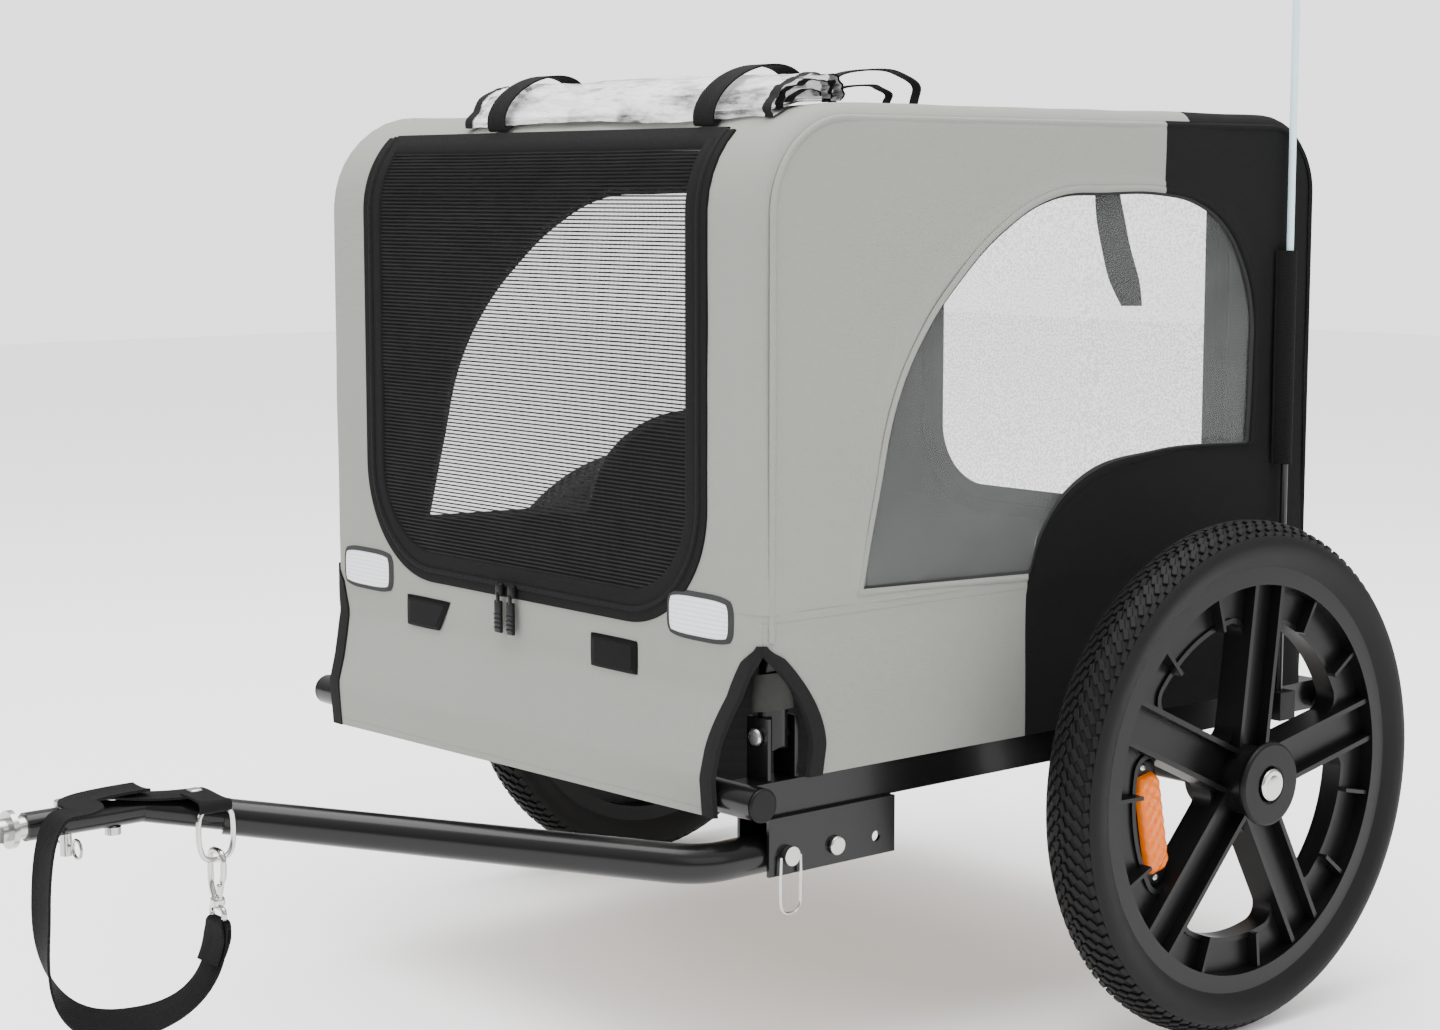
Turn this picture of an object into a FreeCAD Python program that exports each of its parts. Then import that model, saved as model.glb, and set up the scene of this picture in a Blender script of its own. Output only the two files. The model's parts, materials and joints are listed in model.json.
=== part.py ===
# Dog bike trailer, built as separate pieces in millimetres.
# +Z is up, the drawbar faces -Y and +X is the trailer's left side.
# Sizes were read from a photograph, scaled by its sixteen inch wheels.
import math
import os

import FreeCAD
import Part

V = FreeCAD.Vector
os.makedirs("parts", exist_ok=True)

# General fits
over = 1.0
run_gap = 0.06
free_gap = 0.4
door_gap = 0.6
cloth = 2.0
half_share = 0.5
full_turn_deg = 360.0

# Wheels
tyre_r = 203.0
tyre_w = 50.0
tyre_shoulder_drop = 9.0
tyre_tread_half = 19.0
tyre_h = 33.0
tyre_bulge = 14.0
rim_w = 36.0
rim_flange = 3.0
rim_seat_drop = 12.0
rim_border_w = 16.0
web_ring_w = 28.0
web_x = 2.0
web_t = 4.0
rib_t = 4.0
rib_lip = 2.0
opening_round = 12.0
rib_back_x = -10.0
rib_front_x = 16.0
spoke_w = 36.0
spoke_count = 5
spoke_start_deg = 11.0
lens_gap = 2
fin_t = 3.0
fin_shares = (-0.18, 0.18)
hub_r = 27.0
hub_back_x = -28.0
hub_front_x = 30.0
hub_bore_r = 9.5
bearing_r = 14.0
bearing_w = 10.0
cap_r = 33.0
cap_t = 6.0
wheel_gap = 44.0
axle_r = 6.0
axle_root = 120.0
axle_collar_r = 10.0
button_r = 12.5
button_t = 8.0
button_travel = 3.5
button_stem_r = 3.0
button_stem = 18.0
lens_w = 26.0
lens_t = 8.0
lens_back_t = 3.0
lens_back_margin = 3.0
lens_inset = 20.0
lens_side_gap = 0.6
lens_lug = 11.0
screw_r = 3.0

# Base frame
frame_tube_r = 12.5
frame_wall = 2.0
rail_inset = 15.5
front_tube_y = -418.0
rear_tube_y = 228.0
tube_over = 8.0
end_cap_t = 3.0
beam_over = 42.0
saddle_l = 40.0
saddle_w = 25.0
floor_t = 5.0
mat_t = 2.0

# Canopy
side_x = 283.0
front_y = -414.0
rear_y = 208.0
roof_rise = 482.5
front_round = 80.0
rear_round = 65.0
skirt_top_rise = 127.5
skirt_low_drop = 34.5
skirt_bend_rise = 59.5
skirt_out = 19.5
arch_half = 33.0
arch_top_rise = 93.5
arch_turn_deg = 45.0

# Hoops and hinges
hoop_r = 11.0
tube_wall = 1.5
hoop_in = 17.0
hoop_inset = 26.0
hoop_front_bend = 62.0
hoop_rear_bend = 48.0
sleeve_t = 3.0
sleeve_play = 0.6
left_hinge_rise = 31.5
hinge_step = 34.0
foot_drop = 13.0
cheek_t = 3.0
cheek_w = 24.0
cheek_rise = 14.0
hinge_bolt_r = 4.0
bolt_head_r = 6.5
bolt_head_t = 4.0
panel_start = 28.0
bar_t = 8.0
bar_h = 16.0
bar_lap = 12.0

# Doors, windows and trim
door_half = 214.0
door_low_rise = 109.5
door_top_rise = 462.5
door_round = 85.0
rear_door_half = 190.0
rear_door_top_rise = 449.5
window_y_shares = (0.157, 0.183, 0.212, 0.256, 0.313, 0.389, 0.473, 0.572, 0.686,
                   0.752, 0.804, 0.836, 0.863, 0.866, 0.862)
window_z_shares = (0.322, 0.452, 0.582, 0.675, 0.75, 0.822, 0.868, 0.876, 0.874,
                   0.859, 0.825, 0.78, 0.705, 0.6, 0.477)
window_low_y_shares = (0.679, 0.527, 0.463, 0.444)
window_low_z_shares = (0.477, 0.44, 0.37, 0.312)
film_t = 1.0
reflector_w = 76.0
reflector_h = 36.0
reflector_t = 3.0
reflector_round = 8.0
reflector_x = 224.0
reflector_rise = 101.5
tab_w = 58.0
tab_h = 27.0
tab_t = 2.0
tab_shares = (-0.785, 0.397)
tab_rise = 59.5
pull_w = 10.0
pull_h = 32.0
pull_shares = (-0.159, -0.084)
pull_rise = 71.5

# Rolled rain cover
roll_half = 42.0
roll_h = 24.0
roll_core_share = 0.4
roll_back = -7.5
roll_sink = 0.5
roll_tilt_deg = 20.0
roll_left_x = 250.0
roll_right_x = -125.0
roll_strap_w = 25.0
roll_strap_t = 1.5
roll_strap_shares = (0.13, 0.83)

# Flag
pole_r = 3.0
pole_y = 161.0
pole_x = 290.0
pole_top_rise = 899.5
pole_low_drop = 18.5
pennant_w = 170.0
pennant_h = 150.0
pennant_t = 1.0
pennant_clear = 12.0
cup_w = 20.0
cup_low_drop = 24.5
cup_high_drop = 0.5
sleeve_w = 22.0
pocket_low_rise = 192.5
pocket_high_rise = 370.5
pocket_wall = 2.0

# Drawbar and its bracket
bar_r = 14.3
bar_front_r = 12.3
bar_drop = 53.5
bracket_front_y = -408.0
bracket_rear_y = -284.0
bracket_t = 3.0
bracket_low_drop = 67.5
pin_y = -390.0
bolt_y = -344.0
spare_y = -303.0
pin_r = 4.0
pin_head_r = 7.0
pin_head_t = 5.0
pin_tip = 8.0
pivot_r = 5.0
bar_tail = 12.0
bar_wall = 2.5
bend_y = -458.0
bend_r = 90.0
slot_back = 5.0
bail_r = 1.2
bail_drop = 42.0
bail_half = 9.0
miter_x = 95.0
miter_y = -800.0
miter_rise = 9.5
step_share = 0.86
front_tube_r = 9.5
front_tube_reach = 85.0
front_bore_r = 7.6
insert_len = 60.0

# Hitch
shank_back_reach = 35.0
shank_front_reach = 106.0
ring_reach = 93.0
ring_t = 4.0
ring_r = 12.5
tongue_t = 10.0
tongue_w = 26.0
yaw_reach = 124.0
yoke_t = 4.0
yoke_web = 10.0
pitch_reach = 166.0
plate_t = 5.0
plate_len = 44.0
plate_end_r = 15.0
axle_hole_r = 5.2
joint_pin_r = 4.0
joint_head_r = 7.0
joint_head_t = 4.0
hitch_pin_reach = 56.0
hitch_pin_r = 4.0
hitch_pin_head_r = 7.0
hitch_pin_head_t = 4.0
hitch_pin_drop = 14.0
clip_r = 1.1
clip_len = 46.0
clip_loop_r = 6.0
small_bolt_reach = 22.0
small_bolt_r = 3.0
small_head_r = 5.5
small_head_t = 5.0
small_tip = 0.5

# Safety strap
strap_w = 25.0
strap_t = 2.0
strap_bend = 44.0
strap_steps = 8
ring_wire_r = 2.0
ring_w_half = 13.0
ring_drop = 34.0
hook_wire_r = 2.5
hook_w_half = 8.0
hook_len = 46.0
strap_side = 25.36
strap_front_reach = 95.0
strap_low_drop = 122.5
strap_rear_back = 32.0

# Places worked out from the sizes
rim_r = tyre_r - tyre_h
tyre_bulge_r = rim_r + tyre_bulge
rim_seat_r = rim_r - rim_seat_drop
rim_border_r = rim_r - rim_border_w
web_in_r = rim_border_r - web_ring_w
lens_r = web_in_r - lens_inset
lens_low_r = lens_r - lens_w * half_share
lens_high_r = lens_r + lens_w * half_share
gap_turn = math.pi / spoke_count
wall_room = lens_low_r * math.tan(gap_turn) - (spoke_w * half_share + rib_t) / math.cos(gap_turn)
arc_room = math.sqrt(web_in_r * web_in_r - lens_high_r * lens_high_r)
lens_half = min(wall_room, arc_room) - lens_side_gap
lens_l = lens_half + lens_half
rail_x = side_x - rail_inset
hoop_x = side_x - hoop_in
tube_half = rail_x + frame_tube_r + tube_over
beam_half = tube_half + beam_over
track_half = beam_half + wheel_gap
axle_z = tyre_r
rail_z = axle_z + frame_tube_r + frame_tube_r
rail_low_z = rail_z - frame_tube_r
rail_top_z = rail_z + frame_tube_r
roof_z = rail_top_z + roof_rise
skirt_top_z = rail_top_z + skirt_top_rise
skirt_low_z = rail_top_z - skirt_low_drop
skirt_bend_z = rail_top_z + skirt_bend_rise
arch_top_z = rail_top_z + arch_top_rise
left_hinge_z = rail_top_z + left_hinge_rise
door_low_z = rail_top_z + door_low_rise
door_top_z = rail_top_z + door_top_rise
rear_door_top_z = rail_top_z + rear_door_top_rise
reflector_z = rail_top_z + reflector_rise
tab_z = rail_top_z + tab_rise
pull_z = rail_top_z + pull_rise
pole_top_z = rail_top_z + pole_top_rise
pole_low_z = rail_top_z - pole_low_drop
cup_low_z = rail_top_z - cup_low_drop
cup_high_z = rail_top_z - cup_high_drop
pocket_low_z = rail_top_z + pocket_low_rise
pocket_high_z = rail_top_z + pocket_high_rise
bar_z = rail_top_z - bar_drop
bracket_low_z = rail_top_z - bracket_low_drop
miter_z = rail_top_z + miter_rise
strap_low_z = rail_top_z - strap_low_drop
front_tube_end_y = miter_y - front_tube_reach
shank_back_y = miter_y - shank_back_reach
shank_front_y = miter_y - shank_front_reach
ring_y = miter_y - ring_reach
yaw_y = miter_y - yaw_reach
pitch_y = miter_y - pitch_reach
hitch_pin_y = miter_y - hitch_pin_reach
small_bolt_y = miter_y - small_bolt_reach
strap_front_y = miter_y - strap_front_reach
strap_rear_y = miter_y + strap_rear_back
strap_x = miter_x + (rail_x - miter_x) * strap_rear_back / (bend_y - miter_y) + strap_side
side_in_x = side_x - cloth
hoop_front_y = front_y + hoop_inset
hoop_rear_y = rear_y - hoop_inset
sleeve_r = hoop_r + run_gap + sleeve_t
hoop_top_z = roof_z - cloth - sleeve_play - sleeve_r
right_hinge_z = left_hinge_z + hinge_step
front_bar_y = hoop_front_y + hoop_front_bend + bar_t + bar_t
rear_bar_y = hoop_rear_y - hoop_rear_bend - bar_t - bar_t
plate_front_y = pitch_y - plate_len
hitch_end_y = plate_front_y - plate_end_r
back_end_y = max(rear_tube_y + frame_tube_r, pole_y + pole_r + pennant_w)
shift_y = -(hitch_end_y + back_end_y) * half_share
shift = V(0, shift_y, 0)
X = V(1, 0, 0)
Y = V(0, 1, 0)
Z = V(0, 0, 1)
O = V(0, 0, 0)


def save(name, *shapes):
    """Write one node; several shapes make a group of solids."""
    shape = shapes[0] if len(shapes) == 1 else Part.makeCompound(list(shapes))
    shape = shape.copy()
    shape.translate(shift)
    shape.exportStep("parts/" + name + ".step")


def box(x0, x1, y0, y1, z0, z1):
    return Part.makeBox(x1 - x0, y1 - y0, z1 - z0, V(x0, y0, z0))


def rod(radius, start, end):
    line = end - start
    return Part.makeCylinder(radius, line.Length, start, line)


def cone(r0, r1, start, end):
    line = end - start
    return Part.makeCone(r0, r1, line.Length, start, line)


def fuse(shapes):
    shape = shapes[0].fuse(list(shapes[1:])) if len(shapes) > 1 else shapes[0]
    return shape.removeSplitter()


def poly(points):
    return Part.makePolygon(list(points) + [points[0]])


def prism(points, line):
    return Part.Face(poly(points)).extrude(line)


def turn(shape, axis, degrees, centre=O):
    shape = shape.copy()
    shape.rotate(centre, axis, degrees)
    return shape


def mirror_x(shape):
    return shape.mirror(O, X)


def rounded_yz(x, y0, y1, z0, z1, r0, r1):
    """Outline in the YZ plane with its two upper corners rounded."""
    c = math.sqrt(half_share)
    a, b = V(x, y0, z0), V(x, y0, z1 - r0)
    m = V(x, y0 + r0 - r0 * c, z1 - r0 + r0 * c)
    d, e = V(x, y0 + r0, z1), V(x, y1 - r1, z1)
    n = V(x, y1 - r1 + r1 * c, z1 - r1 + r1 * c)
    f, g = V(x, y1, z1 - r1), V(x, y1, z0)
    edges = [Part.LineSegment(a, b), Part.Arc(b, m, d), Part.LineSegment(d, e)]
    edges += [Part.Arc(e, n, f), Part.LineSegment(f, g), Part.LineSegment(g, a)]
    return Part.Wire([edge.toShape() for edge in edges])


def rounded_xz(y, x_half, z0, z1, r):
    """Outline in the XZ plane with its two lower corners rounded."""
    c = math.sqrt(half_share)
    a, b = V(x_half, y, z1), V(x_half, y, z0 + r)
    m = V(x_half - r + r * c, y, z0 + r - r * c)
    d, e = V(x_half - r, y, z0), V(r - x_half, y, z0)
    n = V(r - x_half - r * c, y, z0 + r - r * c)
    f, g = V(-x_half, y, z0 + r), V(-x_half, y, z1)
    edges = [Part.LineSegment(a, b), Part.Arc(b, m, d), Part.LineSegment(d, e)]
    edges += [Part.Arc(e, n, f), Part.LineSegment(f, g), Part.LineSegment(g, a)]
    return Part.Wire([edge.toShape() for edge in edges])


def pipe(edges, radius):
    """Round bar swept along joined edges."""
    wire = Part.Wire(edges)
    start = edges[0].valueAt(edges[0].FirstParameter)
    line = edges[0].tangentAt(edges[0].FirstParameter)
    ring = Part.Wire([Part.Circle(start, line, radius).toShape()])
    return wire.makePipeShell([ring], True, True)


def bend_edges(points, radius):
    """Straight runs joined by arcs of one radius."""
    edges = []
    here = points[0]
    for before, corner, after in zip(points, points[1:], points[2:]):
        u = (before - corner).normalize()
        w = (after - corner).normalize()
        angle = u.getAngle(w)
        reach = radius / math.tan(angle * half_share)
        p, q = corner + u * reach, corner + w * reach
        mid = (u + w).normalize()
        m = corner + mid * (radius / math.sin(angle * half_share) - radius)
        edges.append(Part.LineSegment(here, p).toShape())
        edges.append(Part.Arc(p, m, q).toShape())
        here = q
    edges.append(Part.LineSegment(here, points[-1]).toShape())
    return edges


# Wheels, made on the X axis with the outer face toward +X


def ring_section(points):
    """Solid turned about X from points given as (x, radius)."""
    return prism_face(points).revolve(O, X, full_turn_deg)


def prism_face(points):
    return Part.Face(poly([V(x, 0, r) for x, r in points]))


def polar(x, radius, degrees):
    angle = math.radians(degrees)
    return V(x, radius * math.cos(angle), radius * math.sin(angle))


bead = rim_w * half_share - rim_flange
side_low = V(bead, 0, rim_r)
side_mid = V(tyre_w * half_share, 0, tyre_bulge_r)
side_high = V(tyre_tread_half, 0, tyre_r - tyre_shoulder_drop)
crown = V(0, 0, tyre_r)


def flip(point):
    return V(-point.x, point.y, point.z)


tyre_edges = [Part.LineSegment(V(-bead, 0, rim_seat_r), V(bead, 0, rim_seat_r)),
              Part.LineSegment(V(bead, 0, rim_seat_r), side_low),
              Part.Arc(side_low, side_mid, side_high),
              Part.Arc(side_high, crown, flip(side_high)),
              Part.Arc(flip(side_high), flip(side_mid), flip(side_low)),
              Part.LineSegment(flip(side_low), V(-bead, 0, rim_seat_r))]
tyre = Part.Face(Part.Wire([edge.toShape() for edge in tyre_edges])).revolve(O, X, full_turn_deg)

rim_half = rim_w * half_share
rim_ring = ring_section([(-rim_half, rim_r), (-bead, rim_r), (-bead, rim_seat_r),
                         (bead, rim_seat_r), (bead, rim_r), (rim_half, rim_r),
                         (rim_half, rim_border_r), (web_x + web_t, rim_border_r),
                         (web_x + web_t, web_in_r), (web_x, web_in_r),
                         (web_x, rim_border_r), (-rim_half, rim_border_r)])
hub = ring_section([(hub_back_x, hub_bore_r), (hub_back_x, hub_r), (hub_front_x, hub_r),
                    (hub_front_x, hub_bore_r)])
step_deg = full_turn_deg / spoke_count
lean = math.radians(step_deg * half_share)


def opening(grow, x0, x1):
    """Rounded three-sided block between two spokes, with an even margin all round."""
    offset = spoke_w * half_share - grow
    out_r = web_in_r + grow
    near = offset / math.sin(lean)
    reach = math.sqrt(out_r * out_r - offset * offset) - near * math.cos(lean)
    tip = V(x0, near, 0)
    high = tip + V(0, reach * math.cos(lean), reach * math.sin(lean))
    low = tip + V(0, reach * math.cos(lean), -reach * math.sin(lean))
    sides = [Part.LineSegment(tip, high), Part.Arc(high, V(x0, out_r, 0), low),
             Part.LineSegment(low, tip)]
    block = Part.Face(Part.Wire([side.toShape() for side in sides])).extrude(X * (x1 - x0))
    corners = [edge for edge in block.Edges
               if abs(edge.tangentAt(edge.FirstParameter).x) > half_share]
    return block.makeFillet(opening_round + grow, corners)


disc = ring_section([(web_x, hub_bore_r), (web_x + web_t, hub_bore_r), (web_x + web_t, web_in_r + over),
                     (web_x, web_in_r + over)])
wall = opening(rib_t, rib_back_x, web_x + web_t + rib_lip)
hole = opening(0, rib_back_x - over, rib_front_x + over)
ribs, walls, holes = [], [], []
for number in range(spoke_count):
    deg = spoke_start_deg + number * step_deg
    gap_deg = deg + step_deg * half_share
    walls.append(turn(wall, X, gap_deg))
    holes.append(turn(hole, X, gap_deg))
    for side in (-1, 1):
        z0 = side * (spoke_w * half_share - rib_t * half_share) - rib_t * half_share
        rib = box(web_x, rib_front_x, 0, rim_border_r + over, z0, z0 + rib_t)
        ribs.append(turn(rib, X, deg))
    for share in fin_shares:
        fin = box(web_x, rib_front_x, web_in_r, rim_border_r + over, -fin_t * half_share,
                  fin_t * half_share)
        ribs.append(turn(fin, X, gap_deg + step_deg * share))
hub_room = rod(hub_r - over, V(hub_back_x - over, 0, 0), V(hub_front_x + over, 0, 0))
rim = fuse([rim_ring, disc, hub] + walls + [rib.cut(hub_room) for rib in ribs])
rim = rim.cut(holes)
pocket = bearing_w + button_travel
rim = rim.cut(rod(bearing_r, V(hub_back_x - over, 0, 0), V(hub_back_x + bearing_w, 0, 0)))
rim = rim.cut(rod(bearing_r, V(hub_front_x - pocket, 0, 0), V(hub_front_x + over, 0, 0)))
bearings = []
for x0 in (hub_back_x, hub_front_x - pocket):
    ring = rod(bearing_r, V(x0, 0, 0), V(x0 + bearing_w, 0, 0))
    bearings.append(ring.cut(rod(axle_r + run_gap, V(x0 - over, 0, 0), V(x0 + bearing_w + over, 0, 0))))
cap = rod(cap_r, V(hub_front_x, 0, 0), V(hub_front_x + cap_t, 0, 0))
cap = cap.cut(rod(button_r + over, V(hub_front_x - over, 0, 0), V(hub_front_x + cap_t + over, 0, 0)))

# Amber reflector on its backing strip between two spokes
lens_mid = spoke_start_deg + step_deg * (half_share + lens_gap)
span = lens_l * half_share
back = box(web_x - lens_back_t, web_x, lens_r - lens_w * half_share - lens_back_margin,
           lens_r + lens_w * half_share + lens_back_margin, -span - lens_lug, span + lens_lug)
lens = box(web_x, web_x + lens_t, lens_r - lens_w * half_share, lens_r + lens_w * half_share, -span,
           span)
lens = lens.makeFillet(lens_t * half_share, [edge for edge in lens.Edges if edge.Length < lens_t + over
                                       and abs(edge.tangentAt(edge.FirstParameter).x) > half_share])
parts = [back, lens]
for side in (-1, 1):
    at = V(web_x, lens_r, side * (span + lens_lug * half_share))
    parts.append(rod(screw_r, at, at + X * lens_back_t))
lens_group = [turn(piece, X, lens_mid) for piece in parts]
lens_group[0] = lens_group[0].cut(rim)

wheel_nodes = {"tyre": [tyre], "rim": [rim], "hub_cap": [cap], "bearings": bearings,
               "wheel_reflector": lens_group}
place = V(track_half, 0, axle_z)
for name, shapes in wheel_nodes.items():
    left = [shape.copy() for shape in shapes]
    for shape in left:
        shape.translate(place)
    save("left_" + name, *left)
    save("right_" + name, *[mirror_x(shape) for shape in left])

# Stub axles and push buttons
axle_in = beam_half - axle_root
axle_out = track_half + hub_front_x - button_travel - free_gap
stub = rod(axle_r, V(axle_in, 0, axle_z), V(axle_out, 0, axle_z))
root = rod(frame_tube_r - frame_wall, V(axle_in, 0, axle_z), V(beam_half, 0, axle_z))
collar = rod(axle_collar_r, V(beam_half, 0, axle_z), V(track_half + hub_back_x - free_gap, 0, axle_z))
stub = fuse([stub, root, collar])
stub = stub.cut(rod(button_stem_r + run_gap,
                    V(axle_out - button_stem - button_travel - over, 0, axle_z),
                    V(axle_out + over, 0, axle_z)))
button_x = track_half + hub_front_x + free_gap
button = rod(button_r, V(button_x, 0, axle_z), V(button_x + button_t, 0, axle_z))
button = button.makeFillet(button_t * half_share * half_share, [button.Edges[0]])
button = button.fuse(rod(button_stem_r, V(axle_out - button_stem, 0, axle_z), V(button_x, 0, axle_z)))
save("stub_axles", stub, mirror_x(stub))
save("left_release_button", button)
save("right_release_button", mirror_x(button))

# Base frame
def cross_tube(y):
    tube = rod(frame_tube_r, V(-tube_half, y, rail_z), V(tube_half, y, rail_z))
    return tube.cut(rod(frame_tube_r - frame_wall, V(-tube_half - over, y, rail_z),
                        V(tube_half + over, y, rail_z)))


save("cross_tubes", cross_tube(front_tube_y), cross_tube(rear_tube_y))
caps = []
for y in (front_tube_y, rear_tube_y):
    for side in (-1, 1):
        caps.append(rod(frame_tube_r, V(side * tube_half, y, rail_z),
                        V(side * (tube_half + end_cap_t), y, rail_z)))
save("tube_end_caps", *caps)
rail = box(rail_x - frame_tube_r, rail_x + frame_tube_r, front_tube_y, rear_tube_y, rail_low_z,
           rail_top_z)
inner = frame_tube_r - frame_wall
rail = rail.cut(box(rail_x - inner, rail_x + inner, front_tube_y - over, rear_tube_y + over,
                    rail_z - inner, rail_z + inner))
for y in (front_tube_y, rear_tube_y):
    rail = rail.cut(rod(frame_tube_r, V(0, y, rail_z), V(tube_half, y, rail_z)))
rail = max(rail.Solids, key=lambda solid: solid.Volume)
save("side_rails", rail, mirror_x(rail))
beam = rod(frame_tube_r, V(-beam_half, 0, axle_z), V(beam_half, 0, axle_z))
beam_body = [beam]
for side in (-1, 1):
    x0 = side * rail_x - saddle_w * half_share
    beam_body.append(box(x0, x0 + saddle_w, -saddle_l * half_share, saddle_l * half_share, axle_z,
                         rail_low_z))
beam = fuse(beam_body)
beam = beam.cut(rod(frame_tube_r - frame_wall, V(-beam_half - over, 0, axle_z),
                    V(beam_half + over, 0, axle_z)))
save("axle_beam", beam)
floor_x = rail_x - frame_tube_r
floor_y0, floor_y1 = front_tube_y + frame_tube_r, rear_tube_y - frame_tube_r
save("floor_board", box(-floor_x, floor_x, floor_y0, floor_y1, rail_low_z, rail_low_z + floor_t))
save("floor_mat", box(-floor_x, floor_x, floor_y0, floor_y1, rail_low_z + floor_t,
                      rail_low_z + floor_t + mat_t))

# Hinge brackets, pivot bolts and hoops
def hinge_parts(side, z, y):
    """Two cheeks on the rail and the bolt through them."""
    cheeks = []
    for face in (-1, 1):
        y0 = y + face * (hoop_r + free_gap + cheek_t * half_share) - cheek_t * half_share
        plate = box(hoop_x - cheek_w * half_share, hoop_x + cheek_w * half_share - over, y0,
                    y0 + cheek_t,
                    rail_top_z, z + cheek_rise)
        cheeks.append(plate.cut(rod(hinge_bolt_r, V(hoop_x, y0 - over, z),
                                    V(hoop_x, y0 + cheek_t + over, z))))
    reach = hoop_r + free_gap + cheek_t
    bolt = fuse([rod(hinge_bolt_r, V(hoop_x, y - reach, z), V(hoop_x, y + reach, z)),
                 rod(bolt_head_r, V(hoop_x, y - reach - bolt_head_t, z), V(hoop_x, y - reach, z)),
                 rod(bolt_head_r, V(hoop_x, y + reach, z), V(hoop_x, y + reach + bolt_head_t, z))])
    if side < 0:
        return [mirror_x(shape) for shape in cheeks], mirror_x(bolt)
    return cheeks, bolt


all_cheeks, all_bolts = [], []
for side, z in ((1, left_hinge_z), (-1, right_hinge_z)):
    for y in (hoop_front_y, hoop_rear_y):
        cheeks, bolt = hinge_parts(side, z, y)
        all_cheeks += cheeks
        all_bolts.append(bolt)
save("hinge_brackets", *all_cheeks)
save("hinge_bolts", *all_bolts)


def hoop(z):
    """Inverted U of round tube, bored for its pivot bolts, with feet rounded about them."""
    low = z - foot_drop
    front = bend_edges([V(hoop_x, hoop_front_y, low), V(hoop_x, hoop_front_y, hoop_top_z),
                        V(hoop_x, 0, hoop_top_z)], hoop_front_bend)
    rear = bend_edges([V(hoop_x, 0, hoop_top_z), V(hoop_x, hoop_rear_y, hoop_top_z),
                       V(hoop_x, hoop_rear_y, low)], hoop_rear_bend)
    tube = pipe(front + rear, hoop_r).cut(pipe(front + rear, hoop_r - tube_wall))
    for y in (hoop_front_y, hoop_rear_y):
        near, far = y - hoop_r - over, y + hoop_r + over
        tube = tube.cut(rod(hinge_bolt_r + run_gap, V(hoop_x, near, z), V(hoop_x, far, z)))
        end = box(hoop_x - hoop_r - over, hoop_x + hoop_r + over, near, far, low - over, z)
        tube = tube.cut(end.cut(rod(foot_drop, V(hoop_x, near - over, z), V(hoop_x, far + over, z))))
    return tube


save("left_hoop", hoop(left_hinge_z))
save("right_hoop", mirror_x(hoop(right_hinge_z)))


# Half roof bars that turn on the hoop tops and lap side by side
def roof_bar(y):
    y0, y1 = y - bar_t * half_share, y + bar_t * half_share
    eye = rod(sleeve_r, V(hoop_x, y0, hoop_top_z), V(hoop_x, y1, hoop_top_z))
    arm = box(-bar_lap, hoop_x, y0, y1, hoop_top_z - bar_h * half_share,
              hoop_top_z + bar_h * half_share)
    return eye.fuse(arm).removeSplitter().cut(rod(hoop_r + run_gap, V(hoop_x, y0 - over, hoop_top_z),
                                                  V(hoop_x, y1 + over, hoop_top_z)))


lap = bar_t * half_share + free_gap
save("left_front_roof_bar", roof_bar(front_bar_y - lap))
save("left_rear_roof_bar", roof_bar(rear_bar_y - lap))
save("right_front_roof_bar", mirror_x(roof_bar(front_bar_y + lap)))
save("right_rear_roof_bar", mirror_x(roof_bar(rear_bar_y + lap)))

# Canopy cloth: one tent band cut into its pieces
outer = Part.Face(rounded_yz(-side_x, front_y, rear_y, skirt_low_z, roof_z, front_round, rear_round))
inner = Part.Face(rounded_yz(-side_x - over, front_y + cloth, rear_y - cloth, skirt_low_z - over,
                             roof_z - cloth, front_round - cloth, rear_round - cloth))
width = side_x + side_x
tent = outer.extrude(X * width).cut(inner.extrude(X * (width + over + over)))
front_hole = Part.Face(rounded_xz(front_y - over, door_half + door_gap, door_low_z - door_gap,
                                  door_top_z + door_gap, door_round)).extrude(Y * (front_round + over))
front_fill = Part.Face(rounded_xz(front_y - over, door_half, door_low_z, door_top_z,
                                  door_round)).extrude(Y * (front_round + over))
rear_hole = Part.Face(rounded_xz(rear_y + over, rear_door_half + door_gap, door_low_z - door_gap,
                                 rear_door_top_z + door_gap, door_round)).extrude(Y * -(rear_round + over))
rear_fill = Part.Face(rounded_xz(rear_y + over, rear_door_half, door_low_z, rear_door_top_z,
                                 door_round)).extrude(Y * -(rear_round + over))
save("front_door", tent.common(front_fill))
save("rear_door", tent.common(rear_fill))
cloth_band = tent.cut(front_hole).cut(rear_hole)
seam = free_gap * half_share
upper = box(seam, side_x, front_y - over, rear_y + over, skirt_top_z + free_gap, roof_z + over)
left_canopy = cloth_band.common(upper)
save("left_canopy", left_canopy)
save("right_canopy", mirror_x(left_canopy))


# Lower skirts with arched cut-outs at the front corners
def arch(side):
    rise = arch_top_z - arch_half
    reach = front_round
    stem = box(-arch_half, arch_half, -reach, reach, skirt_low_z - over, rise)
    top = rod(arch_half, V(0, -reach, rise), V(0, reach, rise))
    cutter = turn(stem.fuse(top), Z, side * arch_turn_deg)
    cutter.translate(V(side * side_x, front_y, 0))
    return cutter


low = skirt_low_z
lower_z = rail_top_z + cloth
slope = [V(-side_x, front_y, skirt_top_z), V(-side_x, front_y, skirt_bend_z),
         V(-side_x, front_y - skirt_out, lower_z), V(-side_x, front_y - skirt_out, low),
         V(-side_x, front_y - skirt_out + cloth, low), V(-side_x, front_y - skirt_out + cloth, lower_z),
         V(-side_x, front_y + cloth, skirt_bend_z), V(-side_x, front_y + cloth, skirt_top_z)]
front_skirt = prism(slope, X * width).cut(front_hole).cut(arch(1)).cut(arch(-1))
save("front_skirt", front_skirt)
rear_skirt = tent.common(box(-side_x, side_x, rear_y - cloth - over, rear_y, rail_top_z, skirt_top_z))
save("rear_skirt", rear_skirt.cut(rear_hole))


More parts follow.
